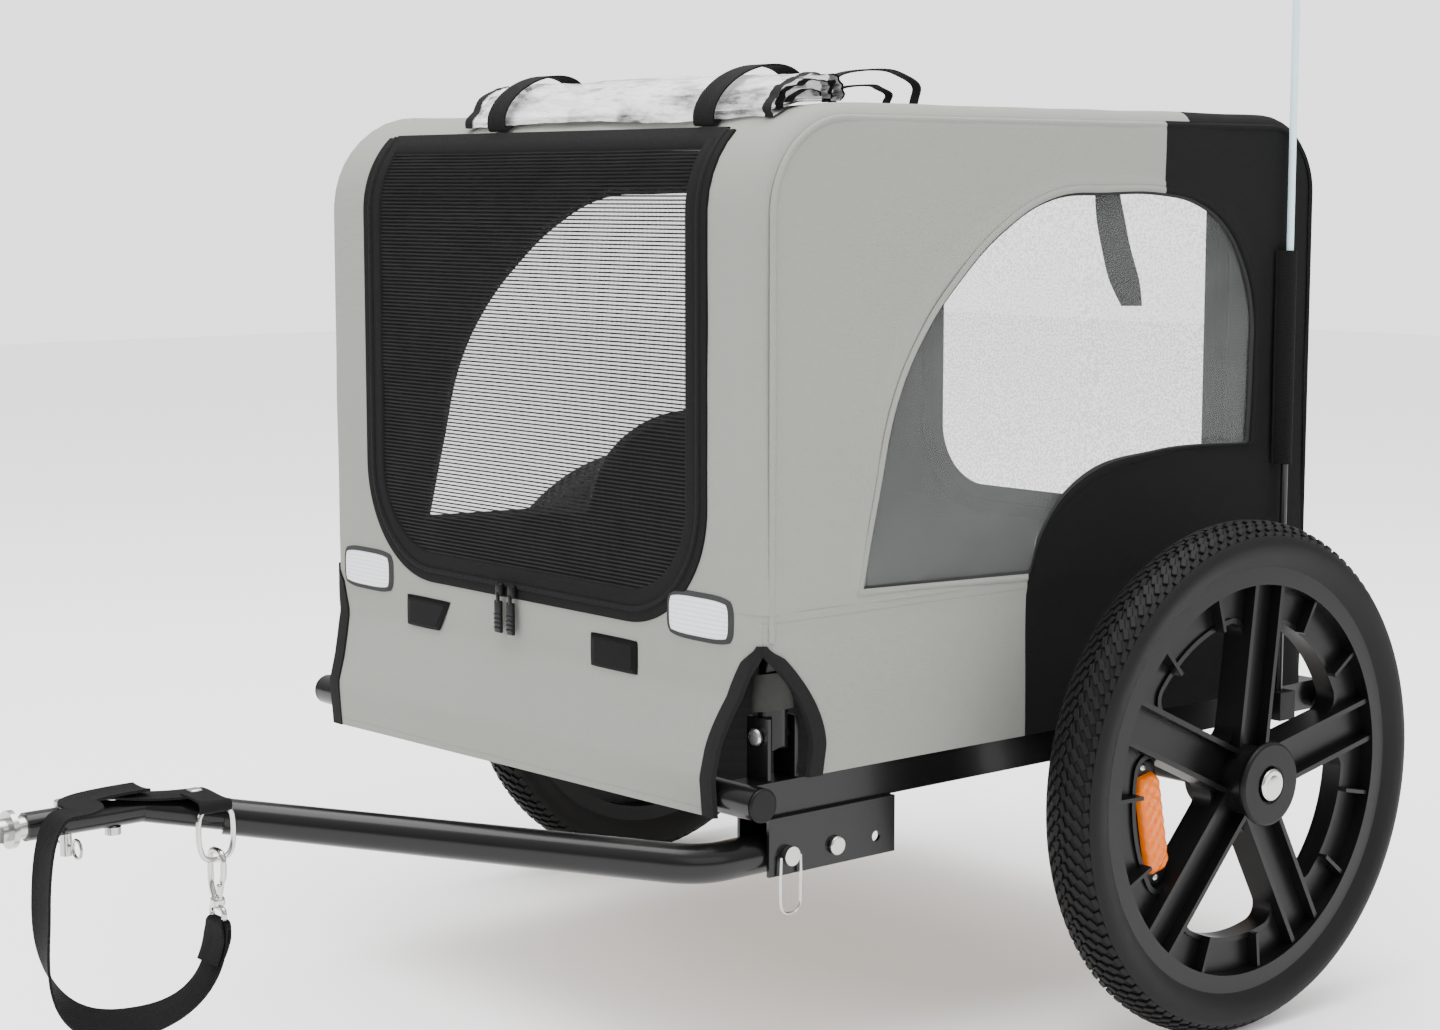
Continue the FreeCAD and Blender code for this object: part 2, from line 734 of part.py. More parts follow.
def side_skirt(z):
    """Flat lower side cloth up to the height where the hoop's panel starts."""
    flat = box(side_in_x, side_x, front_y + cloth, rear_y - cloth, rail_top_z,
               z + panel_start - free_gap)
    return flat.cut(arch(1))


save("side_skirts", side_skirt(left_hinge_z), mirror_x(side_skirt(right_hinge_z)))

# Side panels and their clear windows
inside = Part.Face(rounded_yz(side_in_x, front_y + cloth, rear_y - cloth, skirt_low_z,
                              roof_z - cloth, front_round - cloth, rear_round - cloth))
long_y = rear_y - front_y
high_z = roof_z - skirt_low_z


def window_point(y_share, z_share):
    return V(side_in_x - over, front_y + y_share * long_y, skirt_low_z + z_share * high_z)


upper_points = [window_point(a, b) for a, b in zip(window_y_shares, window_z_shares)]
lower_points = [window_point(a, b) for a, b in zip(window_low_y_shares, window_low_z_shares)]
curve = Part.BSplineCurve()
curve.interpolate(upper_points)
sag = Part.BSplineCurve()
sag.interpolate(lower_points)
window_wire = Part.Wire([curve.toShape(), Part.LineSegment(upper_points[-1], lower_points[0]).toShape(),
                         sag.toShape(), Part.LineSegment(lower_points[-1], upper_points[0]).toShape()])
window_cut = Part.Face(window_wire).extrude(X * (cloth + over + over))


def side_panel(z):
    cut_line = box(side_in_x - over, side_x + over, front_y, rear_y, skirt_low_z - over,
                   z + panel_start)
    return inside.extrude(X * cloth).cut(cut_line).cut(window_cut).cut(arch(1))


window = window_cut.common(box(side_in_x + film_t * half_share,
                               side_in_x + film_t * half_share + film_t,
                               front_y, rear_y, skirt_low_z, roof_z))
save("left_side_panel", side_panel(left_hinge_z))
save("right_side_panel", mirror_x(side_panel(right_hinge_z)))
save("left_window", window)
save("right_window", mirror_x(window))

# Reflectors, tabs and zip pulls on the front skirt
marks = []
for side in (-1, 1):
    x0 = side * reflector_x - reflector_w * half_share
    z0 = reflector_z - reflector_h * half_share
    mark = box(x0, x0 + reflector_w, front_y - reflector_t, front_y, z0, z0 + reflector_h)
    corners = [edge for edge in mark.Edges
               if abs(edge.tangentAt(edge.FirstParameter).y) > half_share]
    marks.append(mark.makeFillet(reflector_round, corners))
marks = [mark.cut(front_hole) for mark in marks]
save("front_reflectors", *marks)
bits = []
for share in tab_shares:
    x0 = share * door_half
    bits.append(box(x0, x0 + tab_w, front_y - tab_t, front_y, tab_z, tab_z + tab_h))
for share in pull_shares:
    x0 = share * door_half
    bits.append(box(x0, x0 + pull_w, front_y - tab_t, front_y, pull_z, pull_z + pull_h))
save("front_fasteners", *bits)

# Rolled rain cover and its straps on the roof
roll_y = front_y + front_round + roll_back
roll_z = roof_z + roll_sink


def flat_roll(x0, x1, wide, high):
    """Flattened bundle, tilted to follow the roof's front curve."""
    middle = V(x0, roll_y, roll_z)
    rim_line = Part.Ellipse(middle + Y * wide, middle + Z * high, middle)
    bundle = Part.Face(Part.Wire([rim_line.toShape()])).extrude(X * (x1 - x0))
    return turn(bundle, X, roll_tilt_deg, middle)


under = outer.extrude(X * width)
roll = flat_roll(roll_right_x, roll_left_x, roll_half, roll_h)
core = flat_roll(roll_right_x - over, roll_left_x + over, roll_half * roll_core_share,
                 roll_h * roll_core_share)
save("rain_cover_roll", roll.cut(core).cut(under))
straps = []
for share in roll_strap_shares:
    x0 = roll_right_x + share * (roll_left_x - roll_right_x)
    x1 = x0 + roll_strap_w
    band = flat_roll(x0, x1, roll_half + roll_strap_t, roll_h + roll_strap_t)
    band = band.cut(flat_roll(x0 - over, x1 + over, roll_half, roll_h)).cut(under)
    straps += band.Solids
save("roll_straps", *straps)

# Safety flag in a cup on the left rail
cup_x0 = rail_x + frame_tube_r
cup = box(cup_x0, pole_x + cup_w * half_share, pole_y - cup_w * half_share, pole_y + cup_w * half_share,
          cup_low_z, cup_high_z)
save("flag_cup",
     cup.cut(rod(pole_r + run_gap, V(pole_x, pole_y, pole_low_z),
                 V(pole_x, pole_y, cup_high_z + over))))
save("flag_pole", rod(pole_r, V(pole_x, pole_y, pole_low_z), V(pole_x, pole_y, pole_top_z)))
flag_high = pole_top_z - pennant_clear
flag_out = [V(pole_x - pennant_t * half_share, pole_y + pole_r, flag_high),
            V(pole_x - pennant_t * half_share, pole_y + pole_r, flag_high - pennant_h),
            V(pole_x - pennant_t * half_share, pole_y + pole_r + pennant_w,
              flag_high - pennant_h * half_share)]
hem = rod(pole_r + pennant_t, V(pole_x, pole_y, flag_high - pennant_h), V(pole_x, pole_y, flag_high))
pennant = fuse([prism(flag_out, X * pennant_t), hem])
save("pennant", pennant.cut(rod(pole_r, V(pole_x, pole_y, pole_low_z), V(pole_x, pole_y, pole_top_z))))
pocket_out = box(side_x, pole_x + pole_r + free_gap + pocket_wall, pole_y - sleeve_w * half_share,
                 pole_y + sleeve_w * half_share, pocket_low_z, pocket_high_z)
save("flag_sleeve", pocket_out.cut(rod(pole_r + free_gap, V(pole_x, pole_y, pocket_low_z - over),
                                       V(pole_x, pole_y, pocket_high_z + over))))

# Drawbar bracket: an upside-down channel under the left rail
chan_half = bar_r + free_gap
chan_out = chan_half + bracket_t
channel = box(rail_x - chan_out, rail_x + chan_out, bracket_front_y, bracket_rear_y, bracket_low_z,
              rail_low_z)
channel = channel.cut(box(rail_x - chan_half, rail_x + chan_half, bracket_front_y - over,
                          bracket_rear_y + over,
                          bracket_low_z - over, rail_low_z - bracket_t))
for y, r in ((pin_y, pin_r + run_gap), (bolt_y, pivot_r), (spare_y, pin_r)):
    channel = channel.cut(rod(r, V(rail_x - chan_out - over, y, bar_z),
                              V(rail_x + chan_out + over, y, bar_z)))
save("drawbar_bracket",
     channel.cut(rod(frame_tube_r, V(0, front_tube_y, rail_z), V(side_x + over, front_tube_y, rail_z))))
pivot = fuse([rod(pivot_r, V(rail_x - chan_out, bolt_y, bar_z), V(rail_x + chan_out, bolt_y, bar_z)),
              rod(pin_head_r, V(rail_x + chan_out, bolt_y, bar_z),
                  V(rail_x + chan_out + bolt_head_t, bolt_y, bar_z)),
              rod(pin_head_r, V(rail_x - chan_out - bolt_head_t, bolt_y, bar_z),
                  V(rail_x - chan_out, bolt_y, bar_z))])
save("drawbar_bolt", pivot)
pin_out_x = rail_x + chan_out
lock_pin = fuse([rod(pin_r, V(rail_x - chan_out - pin_tip, pin_y, bar_z), V(pin_out_x, pin_y, bar_z)),
                 rod(pin_head_r, V(pin_out_x + free_gap, pin_y, bar_z),
                     V(pin_out_x + free_gap + pin_head_t, pin_y, bar_z)),
                 rod(pin_r, V(pin_out_x, pin_y, bar_z), V(pin_out_x + free_gap, pin_y, bar_z))])
bail_x = pin_out_x + free_gap + pin_head_t * half_share
lock_pin = lock_pin.cut(rod(bail_r + run_gap, V(bail_x, pin_y - pin_head_r - over, bar_z),
                            V(bail_x, pin_y + pin_head_r + over, bar_z)))
save("lock_pin", lock_pin)
bail_low = bar_z - bail_drop
bail_points = [V(bail_x, pin_y - bail_half, bar_z), V(bail_x, pin_y - bail_half, bail_low),
               V(bail_x, pin_y + bail_half, bail_low), V(bail_x, pin_y + bail_half, bar_z)]
bail = pipe(bend_edges(bail_points, bail_half * half_share), bail_r)
bail_pin = rod(bail_r, V(bail_x, pin_y - bail_half, bar_z), V(bail_x, pin_y + bail_half, bar_z))
save("pin_bail", bail.fuse(bail_pin).removeSplitter())

# Drawbar: level in the bracket, then bent inward and up to the smaller front tube
start = V(rail_x, bolt_y + bar_tail, bar_z)
corner = V(rail_x, bend_y, bar_z)
miter = V(miter_x, miter_y, miter_z)
along = (miter - corner).normalize()
step_at = corner + along * ((miter - corner).Length * step_share)
edges = bend_edges([start, corner, step_at], bend_r)
bend_end = edges[-1].valueAt(edges[-1].FirstParameter)
bar = pipe(edges[:-1], bar_r).fuse(cone(bar_r, bar_front_r, bend_end, step_at)).removeSplitter()
bar_bore_r = bar_r - bar_wall
bar = bar.cut(pipe(edges[:-1], bar_bore_r)).cut(cone(bar_bore_r, front_tube_r, bend_end, step_at))
bar = bar.cut(rod(pivot_r + run_gap, V(rail_x - chan_out, bolt_y, bar_z),
                  V(rail_x + chan_out, bolt_y, bar_z)))
hook_r = pin_r + free_gap
bar = bar.cut(rod(hook_r, V(rail_x - chan_out, pin_y, bar_z), V(rail_x + chan_out, pin_y, bar_z)))
bar = bar.cut(box(rail_x - chan_out, rail_x + chan_out, pin_y - hook_r, pin_y + hook_r + slot_back,
                  bar_z, bar_z + bar_r + over))
save("drawbar_tube", bar)
nose = V(miter_x, front_tube_end_y, miter_z)
flat = (along - Y).normalize()


def half_space(point, normal, size):
    """Large block on the far side of a plane, used to cut the mitre."""
    block = Part.makeBox(size, size, size, V(-size * half_share, -size * half_share, 0))
    block.Placement = FreeCAD.Placement(point, FreeCAD.Rotation(Z, normal))
    return block


big = insert_len + insert_len + insert_len
rear_run = rod(front_tube_r, step_at - along * insert_len, miter + along * front_tube_r)
rear_run = rear_run.cut(half_space(miter, flat, big))
front_run = rod(front_tube_r, miter + Y * front_tube_r, nose).cut(half_space(miter, -flat, big))
extension = fuse([rear_run, front_run])
extension = extension.cut(rod(front_bore_r, V(miter_x, shank_back_y, miter_z), nose - Y * over))
for y, r in ((hitch_pin_y, hitch_pin_r), (small_bolt_y, small_bolt_r)):
    extension = extension.cut(rod(r, V(miter_x, y, miter_z - front_tube_r - over),
                                  V(miter_x, y, miter_z + front_tube_r + over)))
save("drawbar_extension", extension)
low_z, high_t = miter_z - front_tube_r, miter_z + front_tube_r
bolt = fuse([rod(small_bolt_r, V(miter_x, small_bolt_y, low_z), V(miter_x, small_bolt_y, high_t)),
             rod(small_head_r, V(miter_x, small_bolt_y, low_z - small_head_t),
                 V(miter_x, small_bolt_y, low_z)),
             rod(small_head_r, V(miter_x, small_bolt_y, high_t),
                 V(miter_x, small_bolt_y, high_t + small_tip))])
pin = fuse([rod(hitch_pin_r, V(miter_x, hitch_pin_y, low_z - hitch_pin_drop),
                V(miter_x, hitch_pin_y, high_t)),
            rod(hitch_pin_head_r, V(miter_x, hitch_pin_y, high_t),
                V(miter_x, hitch_pin_y, high_t + hitch_pin_head_t))])
clip_z = low_z - hitch_pin_drop * half_share
pin = pin.cut(rod(clip_r + run_gap, V(miter_x - big, hitch_pin_y, clip_z),
                  V(miter_x + big, hitch_pin_y, clip_z)))
save("hitch_pins", bolt, pin)
clip_x1 = miter_x + hitch_pin_r + clip_loop_r
clip_straight = rod(clip_r, V(clip_x1 - clip_len, hitch_pin_y, clip_z), V(clip_x1, hitch_pin_y, clip_z))
loop = Part.makeTorus(clip_loop_r, clip_r, V(clip_x1 + clip_loop_r, hitch_pin_y, clip_z), Y)
save("r_clip", clip_straight.fuse(loop).removeSplitter())

# Coupler: shank and collar, yoke on a vertical pin, plate on a level pin
shank = rod(front_bore_r, V(miter_x, shank_back_y, miter_z), V(miter_x, shank_front_y, miter_z))
collar = rod(ring_r, V(miter_x, ring_y, miter_z), V(miter_x, ring_y - ring_t, miter_z))
tongue = box(miter_x - tongue_w * half_share, miter_x + tongue_w * half_share, yaw_y,
             shank_front_y + over,
             miter_z - tongue_t * half_share, miter_z + tongue_t * half_share)
tongue_end = rod(tongue_w * half_share, V(miter_x, yaw_y, miter_z - tongue_t * half_share),
                 V(miter_x, yaw_y, miter_z + tongue_t * half_share))
shank = fuse([shank, collar, tongue, tongue_end])
shank = shank.cut(rod(joint_pin_r + run_gap, V(miter_x, yaw_y, miter_z - tongue_t),
                      V(miter_x, yaw_y, miter_z + tongue_t)))
shank = shank.cut(rod(hitch_pin_r, V(miter_x, hitch_pin_y, low_z), V(miter_x, hitch_pin_y, high_t)))
save("coupler_shank", shank)
gap_half = tongue_t * half_share + free_gap
web_back = yaw_y - tongue_w * half_share - over
yoke_low, yoke_high = miter_z - gap_half - yoke_t, miter_z + gap_half + yoke_t
arm_half = tongue_w * half_share
yoke = [box(miter_x - arm_half, miter_x + arm_half, web_back - yoke_web, web_back, yoke_low, yoke_high)]
for z0 in (yoke_low, miter_z + gap_half):
    yoke.append(box(miter_x - arm_half, miter_x + arm_half, web_back - over, yaw_y, z0, z0 + yoke_t))
    yoke.append(rod(arm_half, V(miter_x, yaw_y, z0), V(miter_x, yaw_y, z0 + yoke_t)))
yoke_front = web_back - yoke_web
plate_gap = plate_t * half_share + free_gap
for side in (-1, 1):
    x0 = miter_x + side * (plate_gap + yoke_t * half_share) - yoke_t * half_share
    yoke.append(box(x0, x0 + yoke_t, pitch_y, yoke_front + over, yoke_low, yoke_high))
    yoke.append(rod(gap_half + yoke_t, V(x0, pitch_y, miter_z), V(x0 + yoke_t, pitch_y, miter_z)))
yoke = fuse(yoke)
yoke = yoke.cut(rod(joint_pin_r, V(miter_x, yaw_y, yoke_low - over),
                    V(miter_x, yaw_y, yoke_high + over)))
reach = plate_gap + yoke_t
yoke = yoke.cut(rod(joint_pin_r, V(miter_x - reach - over, pitch_y, miter_z),
                    V(miter_x + reach + over, pitch_y, miter_z)))


def headed_pin(start, end):
    line = (end - start).normalize() * joint_head_t
    return fuse([rod(joint_pin_r, start, end), rod(joint_head_r, start - line, start),
                 rod(joint_head_r, end, end + line)])


save("coupler_yoke", yoke, headed_pin(V(miter_x, yaw_y, yoke_low), V(miter_x, yaw_y, yoke_high)),
     headed_pin(V(miter_x - reach, pitch_y, miter_z), V(miter_x + reach, pitch_y, miter_z)))
eye_r = gap_half + yoke_t
px0, px1 = miter_x - plate_t * half_share, miter_x + plate_t * half_share
plate = fuse([box(px0, px1, plate_front_y, pitch_y, miter_z - eye_r, miter_z + eye_r),
              rod(eye_r, V(px0, pitch_y, miter_z), V(px1, pitch_y, miter_z)),
              rod(plate_end_r, V(px0, plate_front_y, miter_z), V(px1, plate_front_y, miter_z))])
plate = plate.cut(rod(joint_pin_r + run_gap, V(px0 - over, pitch_y, miter_z),
                      V(px1 + over, pitch_y, miter_z)))
plate = plate.cut(rod(axle_hole_r, V(px0 - over, plate_front_y, miter_z),
                      V(px1 + over, plate_front_y, miter_z)))
save("coupler_plate", plate)

# Safety strap with its ring and snap hook on the drawbar's left side
ring_top = miter_z + ring_wire_r
ring_loop = [V(strap_x, strap_rear_y - ring_w_half, ring_top),
             V(strap_x, strap_rear_y + ring_w_half, ring_top),
             V(strap_x, strap_rear_y + ring_w_half, ring_top - ring_drop),
             V(strap_x, strap_rear_y - ring_w_half, ring_top - ring_drop)]
middle = (ring_loop[0] + ring_loop[1]) * half_share
closed = [middle] + ring_loop[1:] + [ring_loop[0], middle]
ring_wire = pipe(bend_edges(closed, ring_w_half * half_share), ring_wire_r)
hook_top = ring_top - ring_drop + ring_wire_r + hook_wire_r
hook_mid = V(strap_x, strap_rear_y, hook_top)
hook_loop = [hook_mid, V(strap_x + hook_w_half, strap_rear_y, hook_top),
             V(strap_x + hook_w_half, strap_rear_y, hook_top - hook_len),
             V(strap_x - hook_w_half, strap_rear_y, hook_top - hook_len),
             V(strap_x - hook_w_half, strap_rear_y, hook_top), hook_mid]
save("snap_hook", pipe(bend_edges(hook_loop, hook_w_half * half_share), hook_wire_r))
strap_top = high_t + hitch_pin_head_t
strap_end_z = hook_top - hook_len - hook_wire_r


def ribbon(points, thick, x0, x1):
    """Strip of even thickness along points in the YZ plane."""
    left, right = [], []
    for index, point in enumerate(points):
        before = points[max(index - 1, 0)]
        after = points[min(index + 1, len(points) - 1)]
        line = (after - before).normalize()
        side = V(0, -line.z, line.y) * (thick * half_share)
        left.append(point + side)
        right.append(point - side)
    strip = prism(left + right[::-1], X * (x1 - x0))
    strip.translate(X * x0)
    return strip


mid_top = strap_top + strap_t * half_share
drop = [V(0, hitch_pin_y + strap_w * half_share, mid_top), V(0, strap_front_y, mid_top),
        V(0, strap_front_y, strap_low_z),
        V(0, strap_rear_y, strap_low_z), V(0, strap_rear_y, strap_end_z)]
line = []
for edge in bend_edges(drop, strap_bend):
    line += edge.discretize(strap_steps)[:-1]
line.append(drop[-1])
hang = ribbon(line, strap_t, strap_x - strap_w * half_share, strap_x + strap_w * half_share)
run = box(miter_x - strap_w * half_share, strap_x - strap_w * half_share,
          hitch_pin_y - strap_w * half_share,
          hitch_pin_y + strap_w * half_share, strap_top, strap_top + strap_t)
tail = box(miter_x - strap_w * half_share, miter_x + strap_w * half_share, hitch_pin_y, miter_y,
           strap_top, strap_top + strap_t)
save("safety_strap", hang, fuse([run, tail]))
anchor = box(miter_x + front_tube_r, strap_x + ring_wire_r, strap_rear_y - strap_w * half_share,
             strap_rear_y + strap_w * half_share, ring_top + ring_wire_r, ring_top + ring_wire_r + strap_t)
anchor = anchor.cut(extension).cut(bar)
save("strap_ring", ring_wire, max(anchor.Solids, key=lambda solid: solid.Volume))
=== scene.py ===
# %% [markdown]
# # A folding bike trailer in Blender
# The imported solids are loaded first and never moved. Every piece made below is in metres, in the
# same frame: +Z is up, the drawbar points along -Y and the trailer's left side is +X.

# %% Load the frame
import json
import math

import bpy
import numpy as np
from mathutils import Matrix, Vector, noise

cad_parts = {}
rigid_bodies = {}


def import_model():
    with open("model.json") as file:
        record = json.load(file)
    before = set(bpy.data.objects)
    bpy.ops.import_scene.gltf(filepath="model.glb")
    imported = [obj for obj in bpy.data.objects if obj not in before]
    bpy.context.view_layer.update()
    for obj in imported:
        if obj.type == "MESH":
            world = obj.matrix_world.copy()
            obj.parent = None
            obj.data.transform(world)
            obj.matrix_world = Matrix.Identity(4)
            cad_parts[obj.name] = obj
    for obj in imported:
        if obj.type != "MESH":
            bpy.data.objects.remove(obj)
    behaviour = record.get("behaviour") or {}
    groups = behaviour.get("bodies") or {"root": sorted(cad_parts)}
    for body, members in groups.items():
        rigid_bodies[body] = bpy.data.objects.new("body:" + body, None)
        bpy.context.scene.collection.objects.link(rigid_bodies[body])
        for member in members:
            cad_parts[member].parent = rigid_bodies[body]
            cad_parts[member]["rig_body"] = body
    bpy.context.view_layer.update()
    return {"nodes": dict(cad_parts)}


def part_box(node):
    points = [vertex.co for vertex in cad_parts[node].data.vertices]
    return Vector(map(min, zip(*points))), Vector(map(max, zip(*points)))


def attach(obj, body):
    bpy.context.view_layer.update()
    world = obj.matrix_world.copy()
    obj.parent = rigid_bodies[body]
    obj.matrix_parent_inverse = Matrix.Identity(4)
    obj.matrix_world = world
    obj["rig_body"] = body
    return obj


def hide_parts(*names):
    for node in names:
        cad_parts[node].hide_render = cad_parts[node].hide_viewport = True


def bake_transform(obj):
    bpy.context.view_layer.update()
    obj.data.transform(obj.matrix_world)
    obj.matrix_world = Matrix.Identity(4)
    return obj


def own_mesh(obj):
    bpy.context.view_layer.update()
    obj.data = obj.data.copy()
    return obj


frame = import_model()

nodes = frame["nodes"]

# %% [markdown]
# ## Camera
# The photograph was taken from the front left, a little above the roof. The camera's place was
# worked out from points of the wheels, the cabin and the drawbar, so its numbers are kept as found.

# %% Camera
CAMERA_AT = Vector((1.6701, -1.2763, 0.66105))
CAMERA_YAW, CAMERA_PITCH = math.radians(49.86), math.radians(-7.02)
CAMERA_LENS = 66.07

bpy.ops.object.select_all(action="DESELECT")
look = Vector((-math.sin(CAMERA_YAW) * math.cos(CAMERA_PITCH),
               math.cos(CAMERA_YAW) * math.cos(CAMERA_PITCH), math.sin(CAMERA_PITCH)))
bpy.ops.object.camera_add(location=CAMERA_AT, rotation=look.to_track_quat("-Z", "Y").to_euler())
camera = bpy.context.object
camera.data.lens = CAMERA_LENS
camera.data.sensor_fit = "HORIZONTAL"
camera.data.clip_end = 60
bpy.context.scene.camera = camera
print("camera at", [round(x, 3) for x in camera.location])

# %% [markdown]
# ## Small tools
# These few helpers do what a hand does all the time: pick one object, go in and out of edit mode,
# apply modifiers, and lay a flat grid of cloth onto a curved surface.

# %% Pick, add and edit


def pick(obj):
    """Select this object alone and make it active."""
    bpy.ops.object.select_all(action="DESELECT")
    obj.select_set(True)
    bpy.context.view_layer.objects.active = obj
    return obj


def add(primitive, **options):
    """Add a primitive or a light with nothing else selected."""
    bpy.ops.object.select_all(action="DESELECT")
    primitive(**options)
    return bpy.context.object


def edit_all(obj):
    """Go into edit mode on this object alone, with everything selected."""
    pick(obj)
    bpy.ops.object.mode_set(mode="EDIT")
    bpy.ops.mesh.select_all(action="SELECT")


def leave_edit():
    bpy.ops.object.mode_set(mode="OBJECT")


def apply_modifiers(obj):
    pick(obj)
    for modifier in list(obj.modifiers):
        bpy.ops.object.modifier_apply(modifier=modifier.name)
    return obj


def join(name, pieces, merge=0.0):
    """Join pieces into one object, and weld points closer than merge."""
    pick(pieces[0])
    for piece in pieces[1:]:
        piece.select_set(True)
    if len(pieces) > 1:
        bpy.ops.object.join()
    obj = bpy.context.object
    obj.name = name
    obj.data.name = name
    if merge:
        edit_all(obj)
        bpy.ops.mesh.remove_doubles(threshold=merge)
        leave_edit()
    return obj


def smooth(obj, degrees=40):
    pick(obj)
    bpy.ops.object.shade_smooth_by_angle(angle=math.radians(degrees))
    return obj

# %% Lay and turn a sheet


def sheet_grid(name, us, vs, place, uv=None, edge=None):
    """A grid primitive whose points are carried to place(u, v).

    uv gives the cloth's own flat place in metres, edge the place along and away from a seam."""
    obj = add(bpy.ops.mesh.primitive_grid_add, x_subdivisions=len(us) - 1, y_subdivisions=len(vs) - 1, size=1)
    obj.name = name
    mesh = obj.data
    ij = []
    for vertex in mesh.vertices:
        i = round((vertex.co.x + 0.5) * (len(us) - 1))
        j = round((vertex.co.y + 0.5) * (len(vs) - 1))
        ij.append((i, j))
        vertex.co = Vector(place(us[i], vs[j]))
    for layer_name, rule in (("UVMap", uv), ("edge", edge)):
        layer = mesh.uv_layers.get(layer_name) or mesh.uv_layers.new(name=layer_name)
        flat = np.ones(len(mesh.loops) * 2)
        if rule:
            table = [rule(us[i], vs[j]) for i, j in ij]
            flat = np.array([table[loop.vertex_index] for loop in mesh.loops], float).ravel()
        layer.data.foreach_set("uv", flat)
    return obj


def face_out(obj, outward):
    """Turn the faces over if most of them look away from outward(centre)."""
    total = 0.0
    for polygon in obj.data.polygons:
        total += polygon.area * polygon.normal.dot(outward(polygon.center))
    if total < 0:
        edit_all(obj)
        bpy.ops.mesh.flip_normals()
        leave_edit()
    return obj


def thicken(obj, thick, offset=-1.0, inner_slot=0):
    """Give a sheet its thickness; the inner face can take another material slot."""
    modifier = obj.modifiers.new("thickness", "SOLIDIFY")
    modifier.thickness = thick
    modifier.offset = offset
    modifier.use_even_offset = False
    modifier.material_offset = inner_slot
    return apply_modifiers(obj)

# %% Steps and lengths


def ramp(count, low=0.0, high=1.0):
    return [low + (high - low) * n / (count - 1) for n in range(count)]


def limited(value):
    """The value held between 0 and 1."""
    return min(1.0, max(0.0, value))


def indices(items):
    return list(range(len(items)))


def run_along(points):
    """Distance from the first point of a line to each of its points."""
    run = [0.0]
    for a, b in zip(points, points[1:]):
        run.append(run[-1] + math.dist(a, b))
    return run

# %% Finish and settle a piece


def finishes(obj, *materials):
    obj.data.materials.clear()
    for material in materials:
        obj.data.materials.append(material)
    return obj


def settle(obj, body, *replaced, slot=None):
    """Ride on a body and stand for the named solids; slot is not used."""
    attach(obj, body)
    if replaced:
        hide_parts(*replaced)
    return obj


SIDES = (("left", 1), ("right", -1))

# %% [markdown]
# ## Floor and light
# The floor is a plain pale plane, so wide that its far edge is only a faint line. One large soft
# light hangs overhead, with two wide fills, so that shadows under the trailer stay soft.

# %% Floor
FLOOR_HALF = 9.0
floor = add(bpy.ops.mesh.primitive_plane_add, size=2 * FLOOR_HALF)
floor.name = "studio_floor"
print("floor", floor.dimensions[:])

# %% Light
world = bpy.data.worlds.new("studio")
bpy.context.scene.world = world
world.use_nodes = True
world.node_tree.nodes["Background"].inputs["Color"].default_value = (1.0, 1.0, 1.0, 1.0)


def soft_light(name, at, aim, size, watts):
    turn = (Vector(aim) - Vector(at)).to_track_quat("-Z", "Y").to_euler()
    light = add(bpy.ops.object.light_add, type="AREA", location=at, rotation=turn)
    light.name = name
    light.data.shape = "RECTANGLE"
    light.data.size, light.data.size_y = size
    light.data.energy = watts
    return light


soft_light("overhead", (0.2, 0.0, 3.2), (0.0, 0.1, 0.0), (3.0, 3.0), 200)
soft_light("front_fill", (-0.9, -3.2, 1.9), (0.0, 0.1, 0.4), (2.2, 1.6), 30)
soft_light("side_fill", (3.4, 0.9, 1.6), (0.0, 0.2, 0.4), (2.0, 1.6), 14)

# %% [markdown]
# ## Shared shader groups
# Cloth weave, sewn stitches, cast grain and dust appear on many finishes. Each is one node group
# with named inputs, placed in a material with that material's own values.

# %% Shader group tools


def new_group(name, inputs, outputs):
    group = bpy.data.node_groups.new(name, "ShaderNodeTree")
    for label, kind, value in inputs:
        socket = group.interface.new_socket(name=label, in_out="INPUT", socket_type=kind)
        if value is not None:
            socket.default_value = value
    for label, kind in outputs:
        group.interface.new_socket(name=label, in_out="OUTPUT", socket_type=kind)
    start = group.nodes.new("NodeGroupInput")
    end = group.nodes.new("NodeGroupOutput")
    return group, start, end


def maths(tree, operation, a, b=None, c=None, clamp=False):
    """One Math node; a, b and c are sockets or numbers."""
    node = tree.nodes.new("ShaderNodeMath")
    node.operation = operation
    node.use_clamp = clamp
    for index, value in enumerate((a, b, c)):
        if value is None:
            continue
        if isinstance(value, (int, float)):
            node.inputs[index].default_value = value
        else:
            tree.links.new(value, node.inputs[index])
    return node.outputs[0]


def split_xyz(tree, vector):
    node = tree.nodes.new("ShaderNodeSeparateXYZ")
    tree.links.new(vector, node.inputs[0])
    return node.outputs


def noise_field(tree, vector, scale, detail=3.0, roughness=0.55):
    node = tree.nodes.new("ShaderNodeTexNoise")
    node.inputs["Scale"].default_value = scale
    node.inputs["Detail"].default_value = detail
    node.inputs["Roughness"].default_value = roughness
    if vector is not None:
        tree.links.new(vector, node.inputs["Vector"])
    return node.outputs["Fac"]


def ripple(tree, along, rate):
    """Rounded ridges across a surface; the height runs from 0 to 1."""
    return maths(tree, "ABSOLUTE", maths(tree, "SINE", maths(tree, "MULTIPLY", along, rate)))


FLOAT, VECTOR = "NodeSocketFloat", "NodeSocketVector"

